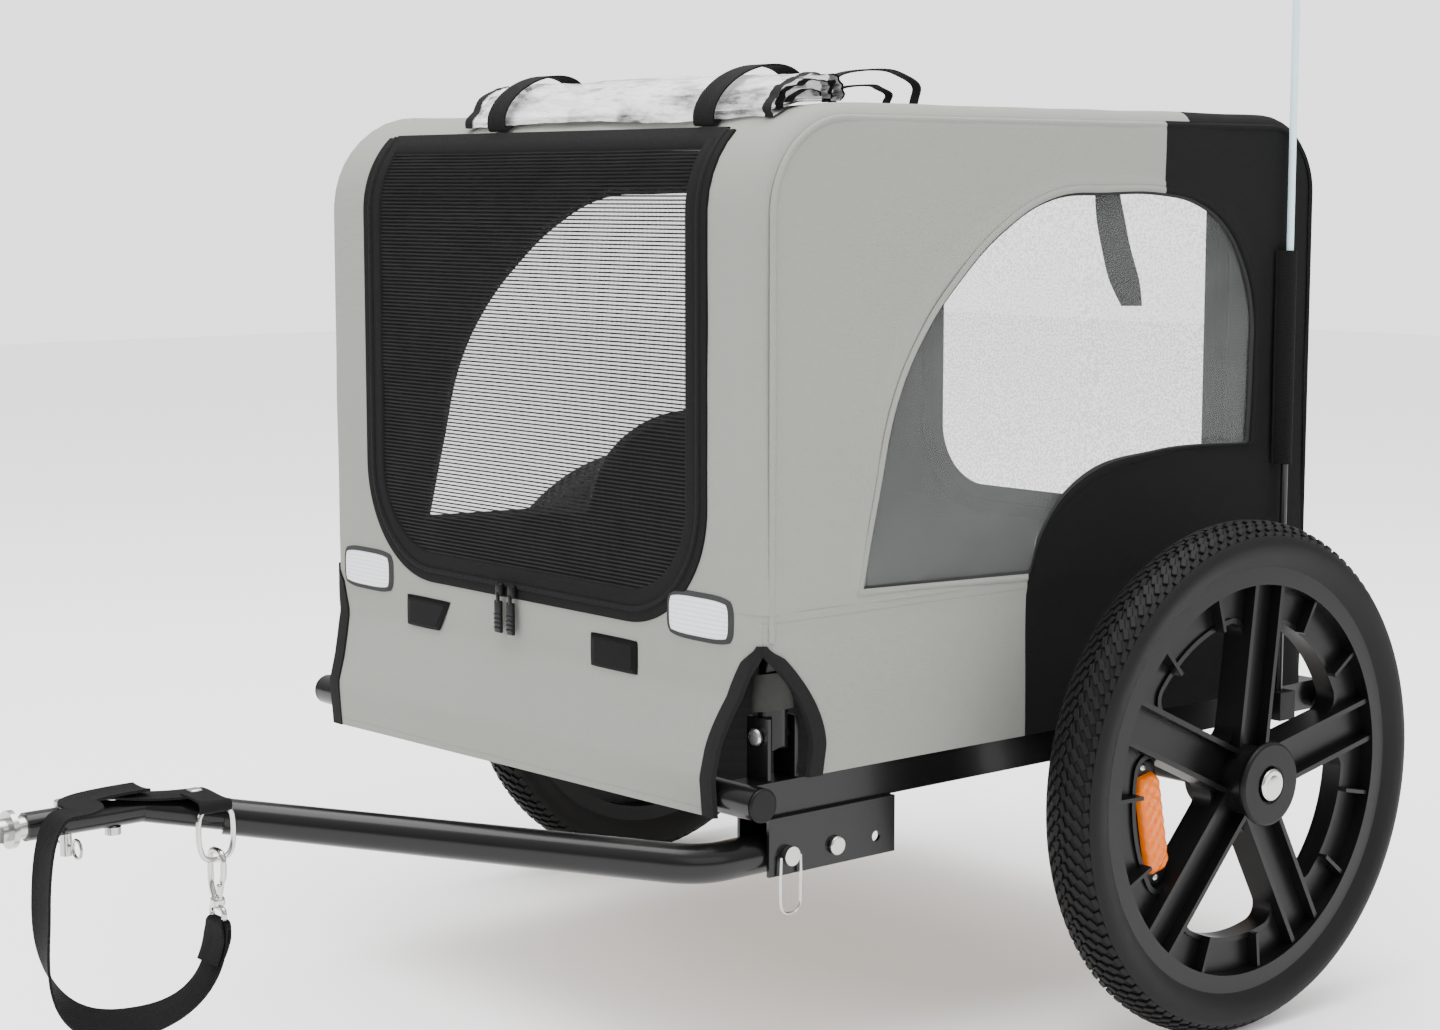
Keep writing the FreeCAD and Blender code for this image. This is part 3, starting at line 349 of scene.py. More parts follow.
# %% Weave group
weave, w_in, w_out = new_group("plain_weave", [("Place", VECTOR, None), ("Threads", FLOAT, 900.0)],
                               [("Height", FLOAT), ("Shade", FLOAT)])
w_axes = split_xyz(weave, w_in.outputs["Place"])
u_turn = maths(weave, "MULTIPLY", w_axes[0], w_in.outputs["Threads"])
v_turn = maths(weave, "MULTIPLY", w_axes[1], w_in.outputs["Threads"])
u_wave, v_wave = (ripple(weave, turn, math.pi) for turn in (u_turn, v_turn))
u_odd, v_odd = (maths(weave, "MODULO", maths(weave, "FLOOR", turn), 2.0) for turn in (u_turn, v_turn))
odd = maths(weave, "ABSOLUTE", maths(weave, "SUBTRACT", maths(weave, "ABSOLUTE", u_odd),
                                     maths(weave, "ABSOLUTE", v_odd)))
over_u = maths(weave, "MULTIPLY", u_wave, odd)
over_v = maths(weave, "MULTIPLY", v_wave, maths(weave, "SUBTRACT", 1.0, odd))
thread = maths(weave, "ADD", over_u, over_v)
weave.links.new(thread, w_out.inputs["Height"])
slub = noise_field(weave, w_in.outputs["Place"], 160.0, 2.0)
weave.links.new(maths(weave, "MULTIPLY_ADD", slub, 0.5, maths(weave, "MULTIPLY", thread, 0.5)),
                w_out.inputs["Shade"])

# %% Stitch group
STITCH_SHARE, STITCH_HALF = 0.72, 0.00055
stitch, s_in, s_out = new_group("stitch_row", [("Edge", VECTOR, None), ("Away", FLOAT, 0.006),
                                               ("Pitch", FLOAT, 0.0035)], [("Mask", FLOAT)])
s_axes = split_xyz(stitch, s_in.outputs["Edge"])
beat = maths(stitch, "FRACT", maths(stitch, "DIVIDE", s_axes[0], s_in.outputs["Pitch"]))
dash = maths(stitch, "LESS_THAN", beat, STITCH_SHARE)
off_line = maths(stitch, "ABSOLUTE", maths(stitch, "SUBTRACT", s_axes[1], s_in.outputs["Away"]))
on_line = maths(stitch, "LESS_THAN", off_line, STITCH_HALF)
stitch.links.new(maths(stitch, "MULTIPLY", dash, on_line), s_out.inputs["Mask"])

# %% Grain and dust groups
grain, g_in, g_out = new_group("moulded_grain", [("Place", VECTOR, None), ("Scale", FLOAT, 700.0)],
                               [("Height", FLOAT), ("Cloud", FLOAT)])
grain_fine = grain.nodes.new("ShaderNodeTexNoise")
grain_fine.inputs["Detail"].default_value = 2.0
grain.links.new(g_in.outputs["Place"], grain_fine.inputs["Vector"])
grain.links.new(g_in.outputs["Scale"], grain_fine.inputs["Scale"])
grain.links.new(grain_fine.outputs["Fac"], g_out.inputs["Height"])
grain.links.new(noise_field(grain, g_in.outputs["Place"], 14.0, 4.0), g_out.inputs["Cloud"])

dust, d_in, d_out = new_group("dust", [("Place", VECTOR, None), ("Amount", FLOAT, 0.3)],
                              [("Mask", FLOAT)])
speck = noise_field(dust, d_in.outputs["Place"], 55.0, 6.0, 0.7)
blotch = noise_field(dust, d_in.outputs["Place"], 6.0, 3.0)
both = maths(dust, "MULTIPLY", speck, blotch)
dust.links.new(maths(dust, "MULTIPLY", maths(dust, "SUBTRACT", both, 0.18, clamp=True),
                     d_in.outputs["Amount"], clamp=True), d_out.inputs["Mask"])
print("groups", [g.name for g in bpy.data.node_groups])

# %% [markdown]
# ## Finishes
# Each material starts from one Principled shader. Values that are the same all over stay on its
# own sockets; only what changes over the surface comes in through nodes.

# %% Material tools


def new_finish(name, color, roughness, metallic=0.0, **sockets):
    material = bpy.data.materials.new(name)
    material.use_nodes = True
    shader = material.node_tree.nodes["Principled BSDF"]
    shader.inputs["Base Color"].default_value = (*color, 1.0)
    shader.inputs["Roughness"].default_value = roughness
    shader.inputs["Metallic"].default_value = metallic
    for label, value in sockets.items():
        shader.inputs[label.replace("_", " ")].default_value = value
    material.diffuse_color = (*color, 1.0)
    return material, material.node_tree, shader

# %% Node tools


def place_group(tree, group, **values):
    node = tree.nodes.new("ShaderNodeGroup")
    node.node_tree = group
    for label, value in values.items():
        if isinstance(value, (int, float)):
            node.inputs[label].default_value = value
        else:
            tree.links.new(value, node.inputs[label])
    return node


def object_place(tree):
    return tree.nodes.new("ShaderNodeTexCoord").outputs["Object"]


def uv_place(tree, name="UVMap"):
    node = tree.nodes.new("ShaderNodeUVMap")
    node.uv_map = name
    return node.outputs["UV"]


def color_mix(tree, factor, a, b):
    node = tree.nodes.new("ShaderNodeMix")
    node.data_type = "RGBA"
    for socket, value in ((node.inputs[0], factor), (node.inputs[6], a), (node.inputs[7], b)):
        if isinstance(value, (int, float)):
            socket.default_value = value
        elif isinstance(value, tuple):
            socket.default_value = (*value, 1.0)
        else:
            tree.links.new(value, socket)
    return node.outputs[2]


def value_range(tree, value, low, high):
    node = tree.nodes.new("ShaderNodeMapRange")
    node.inputs["To Min"].default_value = low
    node.inputs["To Max"].default_value = high
    tree.links.new(value, node.inputs["Value"])
    return node.outputs["Result"]


def add_bump(tree, shader, height, distance, strength=1.0):
    node = tree.nodes.new("ShaderNodeBump")
    node.inputs["Distance"].default_value = distance
    node.inputs["Strength"].default_value = strength
    tree.links.new(height, node.inputs["Height"])
    tree.links.new(node.outputs["Normal"], shader.inputs["Normal"])
    return node


# %% [markdown]
# A studio has dark corners, and a bright wall all round would wash out every black part. So the
# room that shiny parts mirror is dim at floor level and bright overhead, while the soft light that
# falls on the cloth stays even.

# %% Room that shiny parts mirror
DAYLIGHT, MIRROR_LOW, MIRROR_HIGH = 2.2, 0.22, 1.7
room = world.node_tree
rays_of = room.nodes.new("ShaderNodeLightPath")
direction = split_xyz(room, room.nodes.new("ShaderNodeTexCoord").outputs["Generated"])
mirrored = value_range(room, maths(room, "MULTIPLY_ADD", direction[2], 0.9, 0.1), MIRROR_LOW, MIRROR_HIGH)
glossy = rays_of.outputs["Is Glossy Ray"]
even = maths(room, "MULTIPLY", maths(room, "SUBTRACT", 1.0, glossy), DAYLIGHT)
room.links.new(maths(room, "ADD", even, maths(room, "MULTIPLY", glossy, mirrored)),
               room.nodes["Background"].inputs["Strength"])
print("room", len(room.nodes), "nodes")

# %% [markdown]
# The canopy is woven polyester, grey toward the front and black at the back. The line between the
# two colours is cut straight from the tent's own height and length, so it stays crisp. A shallow
# ditch marks that seam, and stitches run along the sewn edges.

# %% Canopy cloth
GREY, GREY_SLUB = (0.188, 0.191, 0.175), (0.216, 0.219, 0.201)
BLACK, BLACK_SLUB = (0.0022, 0.0022, 0.0026), (0.0048, 0.0048, 0.0052)
SPLIT_LOW_Y, SPLIT_HIGH_Y, SPLIT_ROOF_Y = 0.203, 0.3555, 0.385
SPLIT_STEP_Z, SPLIT_ROOF_Z = 0.46, 0.715
CLOTH_THREADS, DITCH_HALF = 800.0, 0.0012


def cloth_finish(name, light, light_slub, two_tone=False):
    """Woven cloth; the two-tone one is black behind its split line and sewn along its edges."""
    material, tree, shader = new_finish(name, light, 0.85, Specular_IOR_Level=0.15)
    place = object_place(tree)
    flat = uv_place(tree)
    woven = place_group(tree, weave, Place=flat, Threads=CLOTH_THREADS)
    cloud = noise_field(tree, place, 5.0, 4.0)
    tone = maths(tree, "MULTIPLY_ADD", cloud, 0.6, maths(tree, "MULTIPLY", woven.outputs["Shade"], 0.4))
    color = color_mix(tree, tone, light, light_slub)
    height = woven.outputs["Height"]
    if two_tone:
        axes = split_xyz(tree, place)
        high = maths(tree, "GREATER_THAN", axes[2], SPLIT_STEP_Z)
        roof = maths(tree, "GREATER_THAN", axes[2], SPLIT_ROOF_Z)
        line = maths(tree, "MULTIPLY_ADD", high, SPLIT_HIGH_Y - SPLIT_LOW_Y, SPLIT_LOW_Y)
        line = maths(tree, "MULTIPLY_ADD", roof, SPLIT_ROOF_Y - SPLIT_HIGH_Y, line)
        behind = maths(tree, "SUBTRACT", axes[1], line)
        dark = maths(tree, "GREATER_THAN", behind, 0.0)
        color = color_mix(tree, dark, color, color_mix(tree, tone, BLACK, BLACK_SLUB))
        ditch = maths(tree, "LESS_THAN", maths(tree, "ABSOLUTE", behind), DITCH_HALF)
        height = maths(tree, "SUBTRACT", height, maths(tree, "MULTIPLY", ditch, 3.0))
        sewn = place_group(tree, stitch, Edge=uv_place(tree, "edge"))
        thread = color_mix(tree, dark, (0.13, 0.13, 0.125), (0.006, 0.006, 0.006))
        color = color_mix(tree, maths(tree, "MULTIPLY", sewn.outputs["Mask"], 0.45), color, thread)
        height = maths(tree, "SUBTRACT", height, maths(tree, "MULTIPLY", sewn.outputs["Mask"], 1.6))
    tree.links.new(color, shader.inputs["Base Color"])
    tree.links.new(value_range(tree, cloud, 0.78, 0.92), shader.inputs["Roughness"])
    add_bump(tree, shader, height, 0.00025, 0.6)
    return material


canopy_cloth = cloth_finish("canopy_cloth", GREY, GREY_SLUB, two_tone=True)
black_cloth = cloth_finish("black_cloth", BLACK, BLACK_SLUB)
lining = cloth_finish("dark_lining", (0.016, 0.016, 0.0165), (0.024, 0.024, 0.024))
print("cloths", canopy_cloth.name, black_cloth.name, lining.name)

# %% [markdown]
# Webbing is woven in slanted ribs that change direction across its width. A picture could be laid on
# it, but ribs worked out along the strap's own length stay sharp and follow every bend.

# %% Webbing and tape


def webbing_finish(name, color, ribs=420.0, depth=0.0004):
    """Woven strap: ribs across its width that alternate like a twill."""
    material, tree, shader = new_finish(name, color, 0.75, Specular_IOR_Level=0.12)
    axes = split_xyz(tree, uv_place(tree))
    slant = maths(tree, "ADD", axes[0], maths(tree, "PINGPONG", axes[1], 0.006))
    rib = ripple(tree, slant, ribs * math.pi)
    fuzz = noise_field(tree, object_place(tree), 300.0, 2.0)
    lift = tuple(min(1.0, c * 2.0 + 0.002) for c in color)
    tone = maths(tree, "MULTIPLY", rib, fuzz)
    tree.links.new(color_mix(tree, tone, color, lift), shader.inputs["Base Color"])
    tree.links.new(value_range(tree, fuzz, 0.65, 0.9), shader.inputs["Roughness"])
    add_bump(tree, shader, rib, depth, 0.8)
    return material


webbing = webbing_finish("black_webbing", (0.0030, 0.0030, 0.0033))
binding = webbing_finish("binding_tape", (0.0055, 0.0055, 0.0058), ribs=600.0, depth=0.0002)
zip_tape = webbing_finish("zip_tape", (0.0028, 0.0028, 0.0030), ribs=700.0, depth=0.0002)
print("tapes", webbing.name, binding.name, zip_tape.name)

# %% [markdown]
# Painted tube, moulded plastic, rubber and plated steel look alike up close: a fine grain, and a sheen
# that clouds over a hand's breadth. So one function makes them all, each with its own values.

# %% Metals, plastics and rubber


def grained(name, color, roughness, spread, scale, depth, metallic=0.0, dusty=0.0, **sockets):
    """A moulded, painted or plated surface: fine grain, clouded sheen and, if wanted, dust."""
    material, tree, shader = new_finish(name, color, roughness, metallic, **sockets)
    place = object_place(tree)
    cast = place_group(tree, grain, Place=place, Scale=scale)
    tree.links.new(value_range(tree, cast.outputs["Cloud"], roughness - spread, roughness + spread),
                   shader.inputs["Roughness"])
    lifted = tuple(min(1.0, c * 1.25 + 0.0015) for c in color)
    tint = color_mix(tree, cast.outputs["Cloud"], color, lifted)
    if dusty:
        grey = tuple(0.5 * c + 0.035 for c in color)
        film = place_group(tree, dust, Place=place, Amount=dusty)
        tint = color_mix(tree, film.outputs["Mask"], tint, grey)
    tree.links.new(tint, shader.inputs["Base Color"])
    add_bump(tree, shader, cast.outputs["Height"], depth, 0.5)
    return material


frame_paint = grained("frame_paint", (0.0018, 0.0018, 0.0020), 0.24, 0.05, 900.0, 0.00005,
                      Specular_IOR_Level=0.22, Coat_Weight=0.12, Coat_Roughness=0.12)
rim_plastic = grained("rim_plastic", (0.0024, 0.0024, 0.0027), 0.34, 0.06, 1400.0, 0.00006,
                      Specular_IOR_Level=0.20)
trim_plastic = grained("trim_plastic", (0.0026, 0.0026, 0.0028), 0.40, 0.06, 1200.0, 0.00006,
                       Specular_IOR_Level=0.16)
tyre_rubber = grained("tyre_rubber", (0.0030, 0.0030, 0.0030), 0.58, 0.08, 700.0, 0.00012,
                      dusty=0.02, Specular_IOR_Level=0.16)
zinc = grained("zinc_plate", (0.40, 0.40, 0.385), 0.26, 0.08, 500.0, 0.00004, metallic=1.0)
chrome = grained("bright_chrome", (0.46, 0.455, 0.44), 0.14, 0.05, 300.0, 0.00002, metallic=1.0)
pole_finish = grained("pole_finish", (0.44, 0.58, 0.63), 0.30, 0.05, 600.0, 0.00003)
pole_tree = pole_finish.node_tree
pole_shader = pole_tree.nodes["Principled BSDF"]
POLE_JOINT_Z, POLE_LOW_COLOR = 0.56, (0.006, 0.006, 0.006)
pole_high = maths(pole_tree, "GREATER_THAN", split_xyz(pole_tree, object_place(pole_tree))[2], POLE_JOINT_Z)
pole_color = pole_shader.inputs["Base Color"].links[0].from_socket
pole_tree.links.new(color_mix(pole_tree, pole_high, POLE_LOW_COLOR, pole_color),
                    pole_shader.inputs["Base Color"])
amber = grained("amber_lens", (0.50, 0.098, 0.0), 0.16, 0.04, 260.0, 0.00010, Specular_IOR_Level=0.25)
board = grained("floor_ply", (0.30, 0.21, 0.13), 0.65, 0.08, 120.0, 0.00015)

# %% Finishes of the solids
FINISHED = (
    (frame_paint, ("cross_tubes", "side_rails", "axle_beam", "hinge_brackets", "drawbar_bracket", "left_hoop",
                   "right_hoop", "left_front_roof_bar", "left_rear_roof_bar", "right_front_roof_bar",
                   "right_rear_roof_bar", "drawbar_tube", "drawbar_extension", "coupler_yoke")),
    (zinc, ("hinge_bolts", "drawbar_bolt", "stub_axles", "hitch_pins", "coupler_shank", "coupler_plate",
            "lock_pin", "r_clip", "left_bearings", "right_bearings")),
    (chrome, ("pin_bail", "left_release_button", "right_release_button", "strap_ring", "snap_hook")),
    (trim_plastic, ("tube_end_caps", "flag_cup", "left_hub_cap", "right_hub_cap")),
    (rim_plastic, ("left_rim", "right_rim")), (tyre_rubber, ("left_tyre", "right_tyre")),
    (amber, ("left_wheel_reflector", "right_wheel_reflector")),
    (board, ("floor_board",)), (pole_finish, ("flag_pole",)))
for finish, node_names in FINISHED:
    for node_name in node_names:
        finishes(nodes[node_name], finish)
finishes(floor, new_finish("studio_paper", (0.90, 0.90, 0.90), 0.9)[0])
print("finishes", len(bpy.data.materials))

# %% [markdown]
# ## The tent's shape
# All canopy pieces lie on one surface: a profile that runs up the front, over the roof and down
# the back, closed at each side by a flat panel. Here the profile is a function of path length, so
# that a seam, a tape or a door can be laid along it by distance, as a pattern cutter would.

# %% The tent's profile
SIDE_X, FRONT_Y, REAR_Y, ROOF_Z = 0.283, -0.0685, 0.5535, 0.723
FRONT_ROUND, REAR_ROUND, EDGE_ROUND = 0.080, 0.065, 0.016
SEAM_Z = 0.362
CLOTH_T = 0.0014
RUN_FRONT = ROOF_Z - FRONT_ROUND - SEAM_Z
RUN_FRONT_ARC = FRONT_ROUND * math.pi / 2
RUN_ROOF = (REAR_Y - REAR_ROUND) - (FRONT_Y + FRONT_ROUND)
RUN_REAR_ARC = REAR_ROUND * math.pi / 2
RUN_REAR = ROOF_Z - REAR_ROUND - SEAM_Z
PATH = RUN_FRONT + RUN_FRONT_ARC + RUN_ROOF + RUN_REAR_ARC + RUN_REAR


def tent_profile(s):
    """(y, z) on the profile at path length s from the front seam, and the outward (ny, nz)."""
    if s <= RUN_FRONT:
        return FRONT_Y, SEAM_Z + s, -1.0, 0.0
    s -= RUN_FRONT
    if s <= RUN_FRONT_ARC:
        t = s / FRONT_ROUND
        return (FRONT_Y + FRONT_ROUND - FRONT_ROUND * math.cos(t),
                ROOF_Z - FRONT_ROUND + FRONT_ROUND * math.sin(t), -math.cos(t), math.sin(t))
    s -= RUN_FRONT_ARC
    if s <= RUN_ROOF:
        return FRONT_Y + FRONT_ROUND + s, ROOF_Z, 0.0, 1.0
    s -= RUN_ROOF
    if s <= RUN_REAR_ARC:
        t = s / REAR_ROUND
        return (REAR_Y - REAR_ROUND + REAR_ROUND * math.sin(t),
                ROOF_Z - REAR_ROUND + REAR_ROUND * math.cos(t), math.sin(t), math.cos(t))
    s -= RUN_REAR_ARC
    return REAR_Y, ROOF_Z - REAR_ROUND - s, 1.0, 0.0


def tent_point(x, s, lift=0.0):
    """Point on the band at width x and path length s, lifted off the cloth."""
    y, z, ny, nz = tent_profile(s)
    return Vector((x, y + ny * lift, z + nz * lift))

# %% Door openings
FRONT_DOOR_HALF, REAR_DOOR_HALF = 0.214, 0.190
DOOR_LOW_Z, DOOR_ROUND = 0.350, 0.085
FRONT_DOOR_TOP = RUN_FRONT + FRONT_ROUND * math.asin((0.703 - ROOF_Z + FRONT_ROUND) / FRONT_ROUND)
REAR_DOOR_TOP = (RUN_FRONT + RUN_FRONT_ARC + RUN_ROOF
                 + REAR_ROUND * math.acos((0.690 - ROOF_Z + REAR_ROUND) / REAR_ROUND))


def door_half(half, z):
    """Half width of a door opening at height z: straight sides over rounded corners."""
    drop = DOOR_LOW_Z + DOOR_ROUND - z
    if drop <= 0:
        return half
    drop = min(drop, DOOR_ROUND)
    return half - DOOR_ROUND + math.sqrt(DOOR_ROUND ** 2 - drop ** 2)


def opening_x(s):
    """Inner edge of the front strip, the roof's side columns and the rear strip."""
    z = tent_profile(s)[1]
    if s <= FRONT_DOOR_TOP:
        return door_half(FRONT_DOOR_HALF, z)
    if s >= REAR_DOOR_TOP:
        return door_half(REAR_DOOR_HALF, z)
    share = (s - FRONT_DOOR_TOP) / (REAR_DOOR_TOP - FRONT_DOOR_TOP)
    return FRONT_DOOR_HALF + (REAR_DOOR_HALF - FRONT_DOOR_HALF) * share


print("profile", round(PATH, 3), "door tops", round(FRONT_DOOR_TOP, 3), round(REAR_DOOR_TOP, 3))

# %% [markdown]
# ## Side windows
# The window's outline is the curve seen in the photograph: a wide arch whose lower back corner
# makes room for the wheel. It is kept as shares of the side panel's length and height.

# %% Window outline
WINDOW_Y_SHARES = (0.157, 0.183, 0.212, 0.256, 0.313, 0.389, 0.473, 0.572, 0.686, 0.752, 0.804, 0.836,
                   0.863, 0.866, 0.862, 0.679, 0.527, 0.463, 0.444)
WINDOW_Z_SHARES = (0.322, 0.452, 0.582, 0.675, 0.75, 0.822, 0.868, 0.876, 0.874, 0.859, 0.825, 0.78,
                   0.705, 0.6, 0.477, 0.477, 0.44, 0.37, 0.312)
WINDOW_BACK_CORNER, PANEL_LOW_Z = 14, 0.206


def curve_points(curve):
    """Points along a curve, which is only a construction line and is removed again."""
    line = bpy.data.objects.new(curve.name, curve)
    bpy.context.scene.collection.objects.link(line)
    mesh = bpy.data.meshes.new_from_object(line)
    points = [v.co.copy() for v in mesh.vertices]
    bpy.data.objects.remove(line)
    bpy.data.meshes.remove(mesh)
    bpy.data.curves.remove(curve)
    return points


def window_outline(count):
    """Evenly spaced (y, z) points round the window, from its lower front corner."""
    ys = [FRONT_Y + share * (REAR_Y - FRONT_Y) for share in WINDOW_Y_SHARES]
    zs = [PANEL_LOW_Z + share * (ROOF_Z - PANEL_LOW_Z) for share in WINDOW_Z_SHARES]
    curve = bpy.data.curves.new("window_line", "CURVE")
    curve.dimensions = "3D"
    spline = curve.splines.new("BEZIER")
    spline.bezier_points.add(len(ys) - 1)
    sharp = {0, WINDOW_BACK_CORNER, len(ys) - 1}
    for n, (y, z) in enumerate(zip(ys, zs)):
        point = spline.bezier_points[n]
        point.co = (0, y, z)
        kind = "VECTOR" if n in sharp else "AUTO"
        point.handle_left_type = point.handle_right_type = kind
    spline.use_cyclic_u = True
    spline.resolution_u = 24
    points = [(p.y, p.z) for p in curve_points(curve)]
    points.append(points[0])
    run = run_along(points)
    at = ramp(count + 1, 0.0, run[-1])[:-1]
    across, up = (np.interp(at, run, [p[k] for p in points]) for k in (0, 1))
    return list(zip(across, up)), run[-1]


window_points, window_length = window_outline(260)
window_centre = (sum(p[0] for p in window_points) / len(window_points),
                 sum(p[1] for p in window_points) / len(window_points))
print("window edge", round(window_length, 3), "centre", [round(c, 3) for c in window_centre])

# %% [markdown]
# ## Canopy halves
# Each half is one sheet: a ring of cloth round the window, a rounded corner, and the band over the
# roof. Rays from the window's centre give the ring its columns, and the same columns run on over
# the corner, so the seam has no gaps. The half rides on its side hoop.

# %% Rays shared by panel and band


def angle_of(y, z):
    return math.atan2(z - window_centre[1], y - window_centre[0])


def loop_by_angle(points):
    """Sort a closed loop by angle about the window's centre, padded at both ends."""
    rows = sorted((angle_of(p[0], p[1]), *p) for p in points)
    low = (rows[-1][0] - math.tau, *rows[-1][1:])
    high = (rows[0][0] + math.tau, *rows[0][1:])
    return np.array([low, *rows, high])


outer_loop = []
for s in ramp(1600, 0.0, PATH):
    y, z, ny, nz = tent_profile(s)
    outer_loop.append((y - ny * EDGE_ROUND, z - nz * EDGE_ROUND, s))
for share in ramp(700)[1:-1]:
    outer_loop.append((REAR_Y - EDGE_ROUND + share * (FRONT_Y - REAR_Y + 2 * EDGE_ROUND), SEAM_Z, -1.0))
outer_table = loop_by_angle(outer_loop)
window_table = loop_by_angle(window_points)
special = [0.0, FRONT_DOOR_TOP, REAR_DOOR_TOP, PATH, RUN_FRONT, RUN_FRONT + RUN_FRONT_ARC]
angles = [angle_of(*p) for p in window_points]
special_angles = []
for s in special:
    y, z, ny, nz = tent_profile(s)
    special_angles.append(angle_of(y - ny * EDGE_ROUND, z - nz * EDGE_ROUND))
angles = [a for a in angles if min(abs(a - b) for b in special_angles) > 0.004]
angles = sorted(angles + special_angles)
rays = []
for angle in angles:
    oy, oz = (float(np.interp(angle, outer_table[:, 0], outer_table[:, k])) for k in (1, 2))
    wy, wz = (float(np.interp(angle, window_table[:, 0], window_table[:, k])) for k in (1, 2))
    s = float(np.interp(angle, outer_table[:, 0], outer_table[:, 3]))
    for exact, at in zip(special, special_angles):
        if angle == at:
            s = exact
            py, pz, ny, nz = tent_profile(s)
            oy, oz = py - ny * EDGE_ROUND, pz - nz * EDGE_ROUND
    on_path = oz > SEAM_Z + 1e-6 or s in (0.0, PATH)
    rays.append({"outer": (oy, oz), "window": (wy, wz), "s": s, "on_path": on_path})
path_rays = sorted((ray for ray in rays if ray["on_path"] and ray["s"] >= 0), key=lambda ray: ray["s"])
print("rays", len(rays), "of which on the band", len(path_rays))

# %% Slack of stretched cloth
HEM, HEM_LIFT = 0.012, 0.0009
ROOF_SAG, SIDE_DRAW = 0.004, 0.0015
CORNER_STEPS = 6


def slack(obj):
    """Soft unevenness of stretched cloth, as small moves along each point's normal."""
    moves = []
    for vertex in obj.data.vertices:
        p, n = vertex.co, vertex.normal
        soft = 0.0011 * noise.noise(p * 8.0) + 0.0005 * noise.noise(p * 23.0 + Vector((3, 1, 7)))
        if n.z > 0.8:
            across = math.cos(math.pi * min(1.0, abs(p.x) / SIDE_X) / 2)
            soft -= ROOF_SAG * across
        if abs(n.x) > 0.8:
            soft -= SIDE_DRAW * math.sin(math.pi * limited((p.z - SEAM_Z) / (ROOF_Z - SEAM_Z)))
        moves.append(n * soft)
    for vertex, move in zip(obj.data.vertices, moves):
        vertex.co += move

# %% Build one half of the canopy


def canopy_half(name, sign):
    closed = rays + [rays[0]]
    run = run_along([ray["window"] for ray in closed])
    depths = [0.0, 0.5, 0.85, 1.0] + [1.0 + (n / 9) for n in range(1, 10)]

    def ring_away(u, v):
        """Length of a ray and the distance along it: the hem first, then the rest of the panel."""
        length = math.dist(closed[round(u)]["window"], closed[round(u)]["outer"])
        hem = min(HEM, 0.45 * length)
        return length, v * hem if v <= 1.0 else hem + (v - 1.0) * (length - hem)

    def ring_place(u, v):
        (wy, wz), (oy, oz) = closed[round(u)]["window"], closed[round(u)]["outer"]
        length, away = ring_away(u, v)
        lift = HEM_LIFT if v < 0.9 else 0.0
        return sign * (SIDE_X + lift), wy + (oy - wy) * away / length, wz + (oz - wz) * away / length

    ring = sheet_grid("ring", indices(closed), depths, ring_place, uv=lambda u, v: ring_place(u, v)[1:],
                      edge=lambda u, v: (run[round(u)], ring_away(u, v)[1]))
    columns = [("corner", n / CORNER_STEPS) for n in range(CORNER_STEPS)]
    columns += [("side", n / 8) for n in range(9)]

    def band_place(u, v):
        s = path_rays[round(u)]["s"]
        kind, t = columns[round(v)]
        if kind == "corner":
            a = t * math.pi / 2
            x = SIDE_X - EDGE_ROUND + EDGE_ROUND * math.cos(a)
            return tent_point(sign * x, s, -(EDGE_ROUND - EDGE_ROUND * math.sin(a)))
        x0, x1 = SIDE_X - EDGE_ROUND, opening_x(s)
        return tent_point(sign * (x0 + (x1 - x0) * t), s)

    def band_edge(u, v):
        kind, t = columns[round(v)]
        away = t * EDGE_ROUND * math.pi / 2 if kind == "corner" else 0.025 + t * 0.06
        return path_rays[round(u)]["s"], away

    band = sheet_grid("band", indices(path_rays), indices(columns), band_place,
                      uv=lambda u, v: (path_rays[round(u)]["s"], band_place(u, v)[0]), edge=band_edge)
    first, last = FRONT_DOOR_TOP - 1e-9, REAR_DOOR_TOP + 1e-9
    roof_rows = [n for n, ray in enumerate(path_rays) if first <= ray["s"] <= last]

    def roof_place(u, v):
        s = path_rays[round(u)]["s"]
        return tent_point(sign * opening_x(s) * (1 - v), s)

    roof = sheet_grid("roof", roof_rows, ramp(18), roof_place,
                      uv=lambda u, v: (path_rays[round(u)]["s"], roof_place(u, v)[0]))
    half = join(name, [ring, band, roof], merge=0.00002)
    edit_all(half)
    bpy.ops.mesh.normals_make_consistent(inside=False)
    leave_edit()
    face_out(half, lambda c: Vector((sign * 0.1 if abs(c.x) > 0.27 else 0.0, c.y - 0.24, c.z - 0.45)))
    slack(half)
    finishes(half, canopy_cloth, lining)
    thicken(half, CLOTH_T, inner_slot=1)
    return smooth(half, 50)


# %% Both halves
FLAT_X, FLAT_KEEP = 0.2755, 0.05


def flatten_with(side, *pieces, keep=FLAT_KEEP):
    """Give each piece its own mesh; side and keep are not used."""
    for piece in pieces:
        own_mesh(piece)


for side, sign in SIDES:
    canopy = canopy_half(side + "_canopy_cloth", sign)
    settle(canopy, side + "_hoop", side + "_canopy", side + "_side_panel", slot="grey_cloth")
    flatten_with(side, canopy)
    print(canopy.name, len(canopy.data.polygons), "faces")

# %% [markdown]
# ## Skirts
# The lower cloth hangs from the seam. At each front corner a pointed arch is cut out for the hinge,
# and its edge is bound with dark tape. Distances run round the corner, so that cloth turns with it.

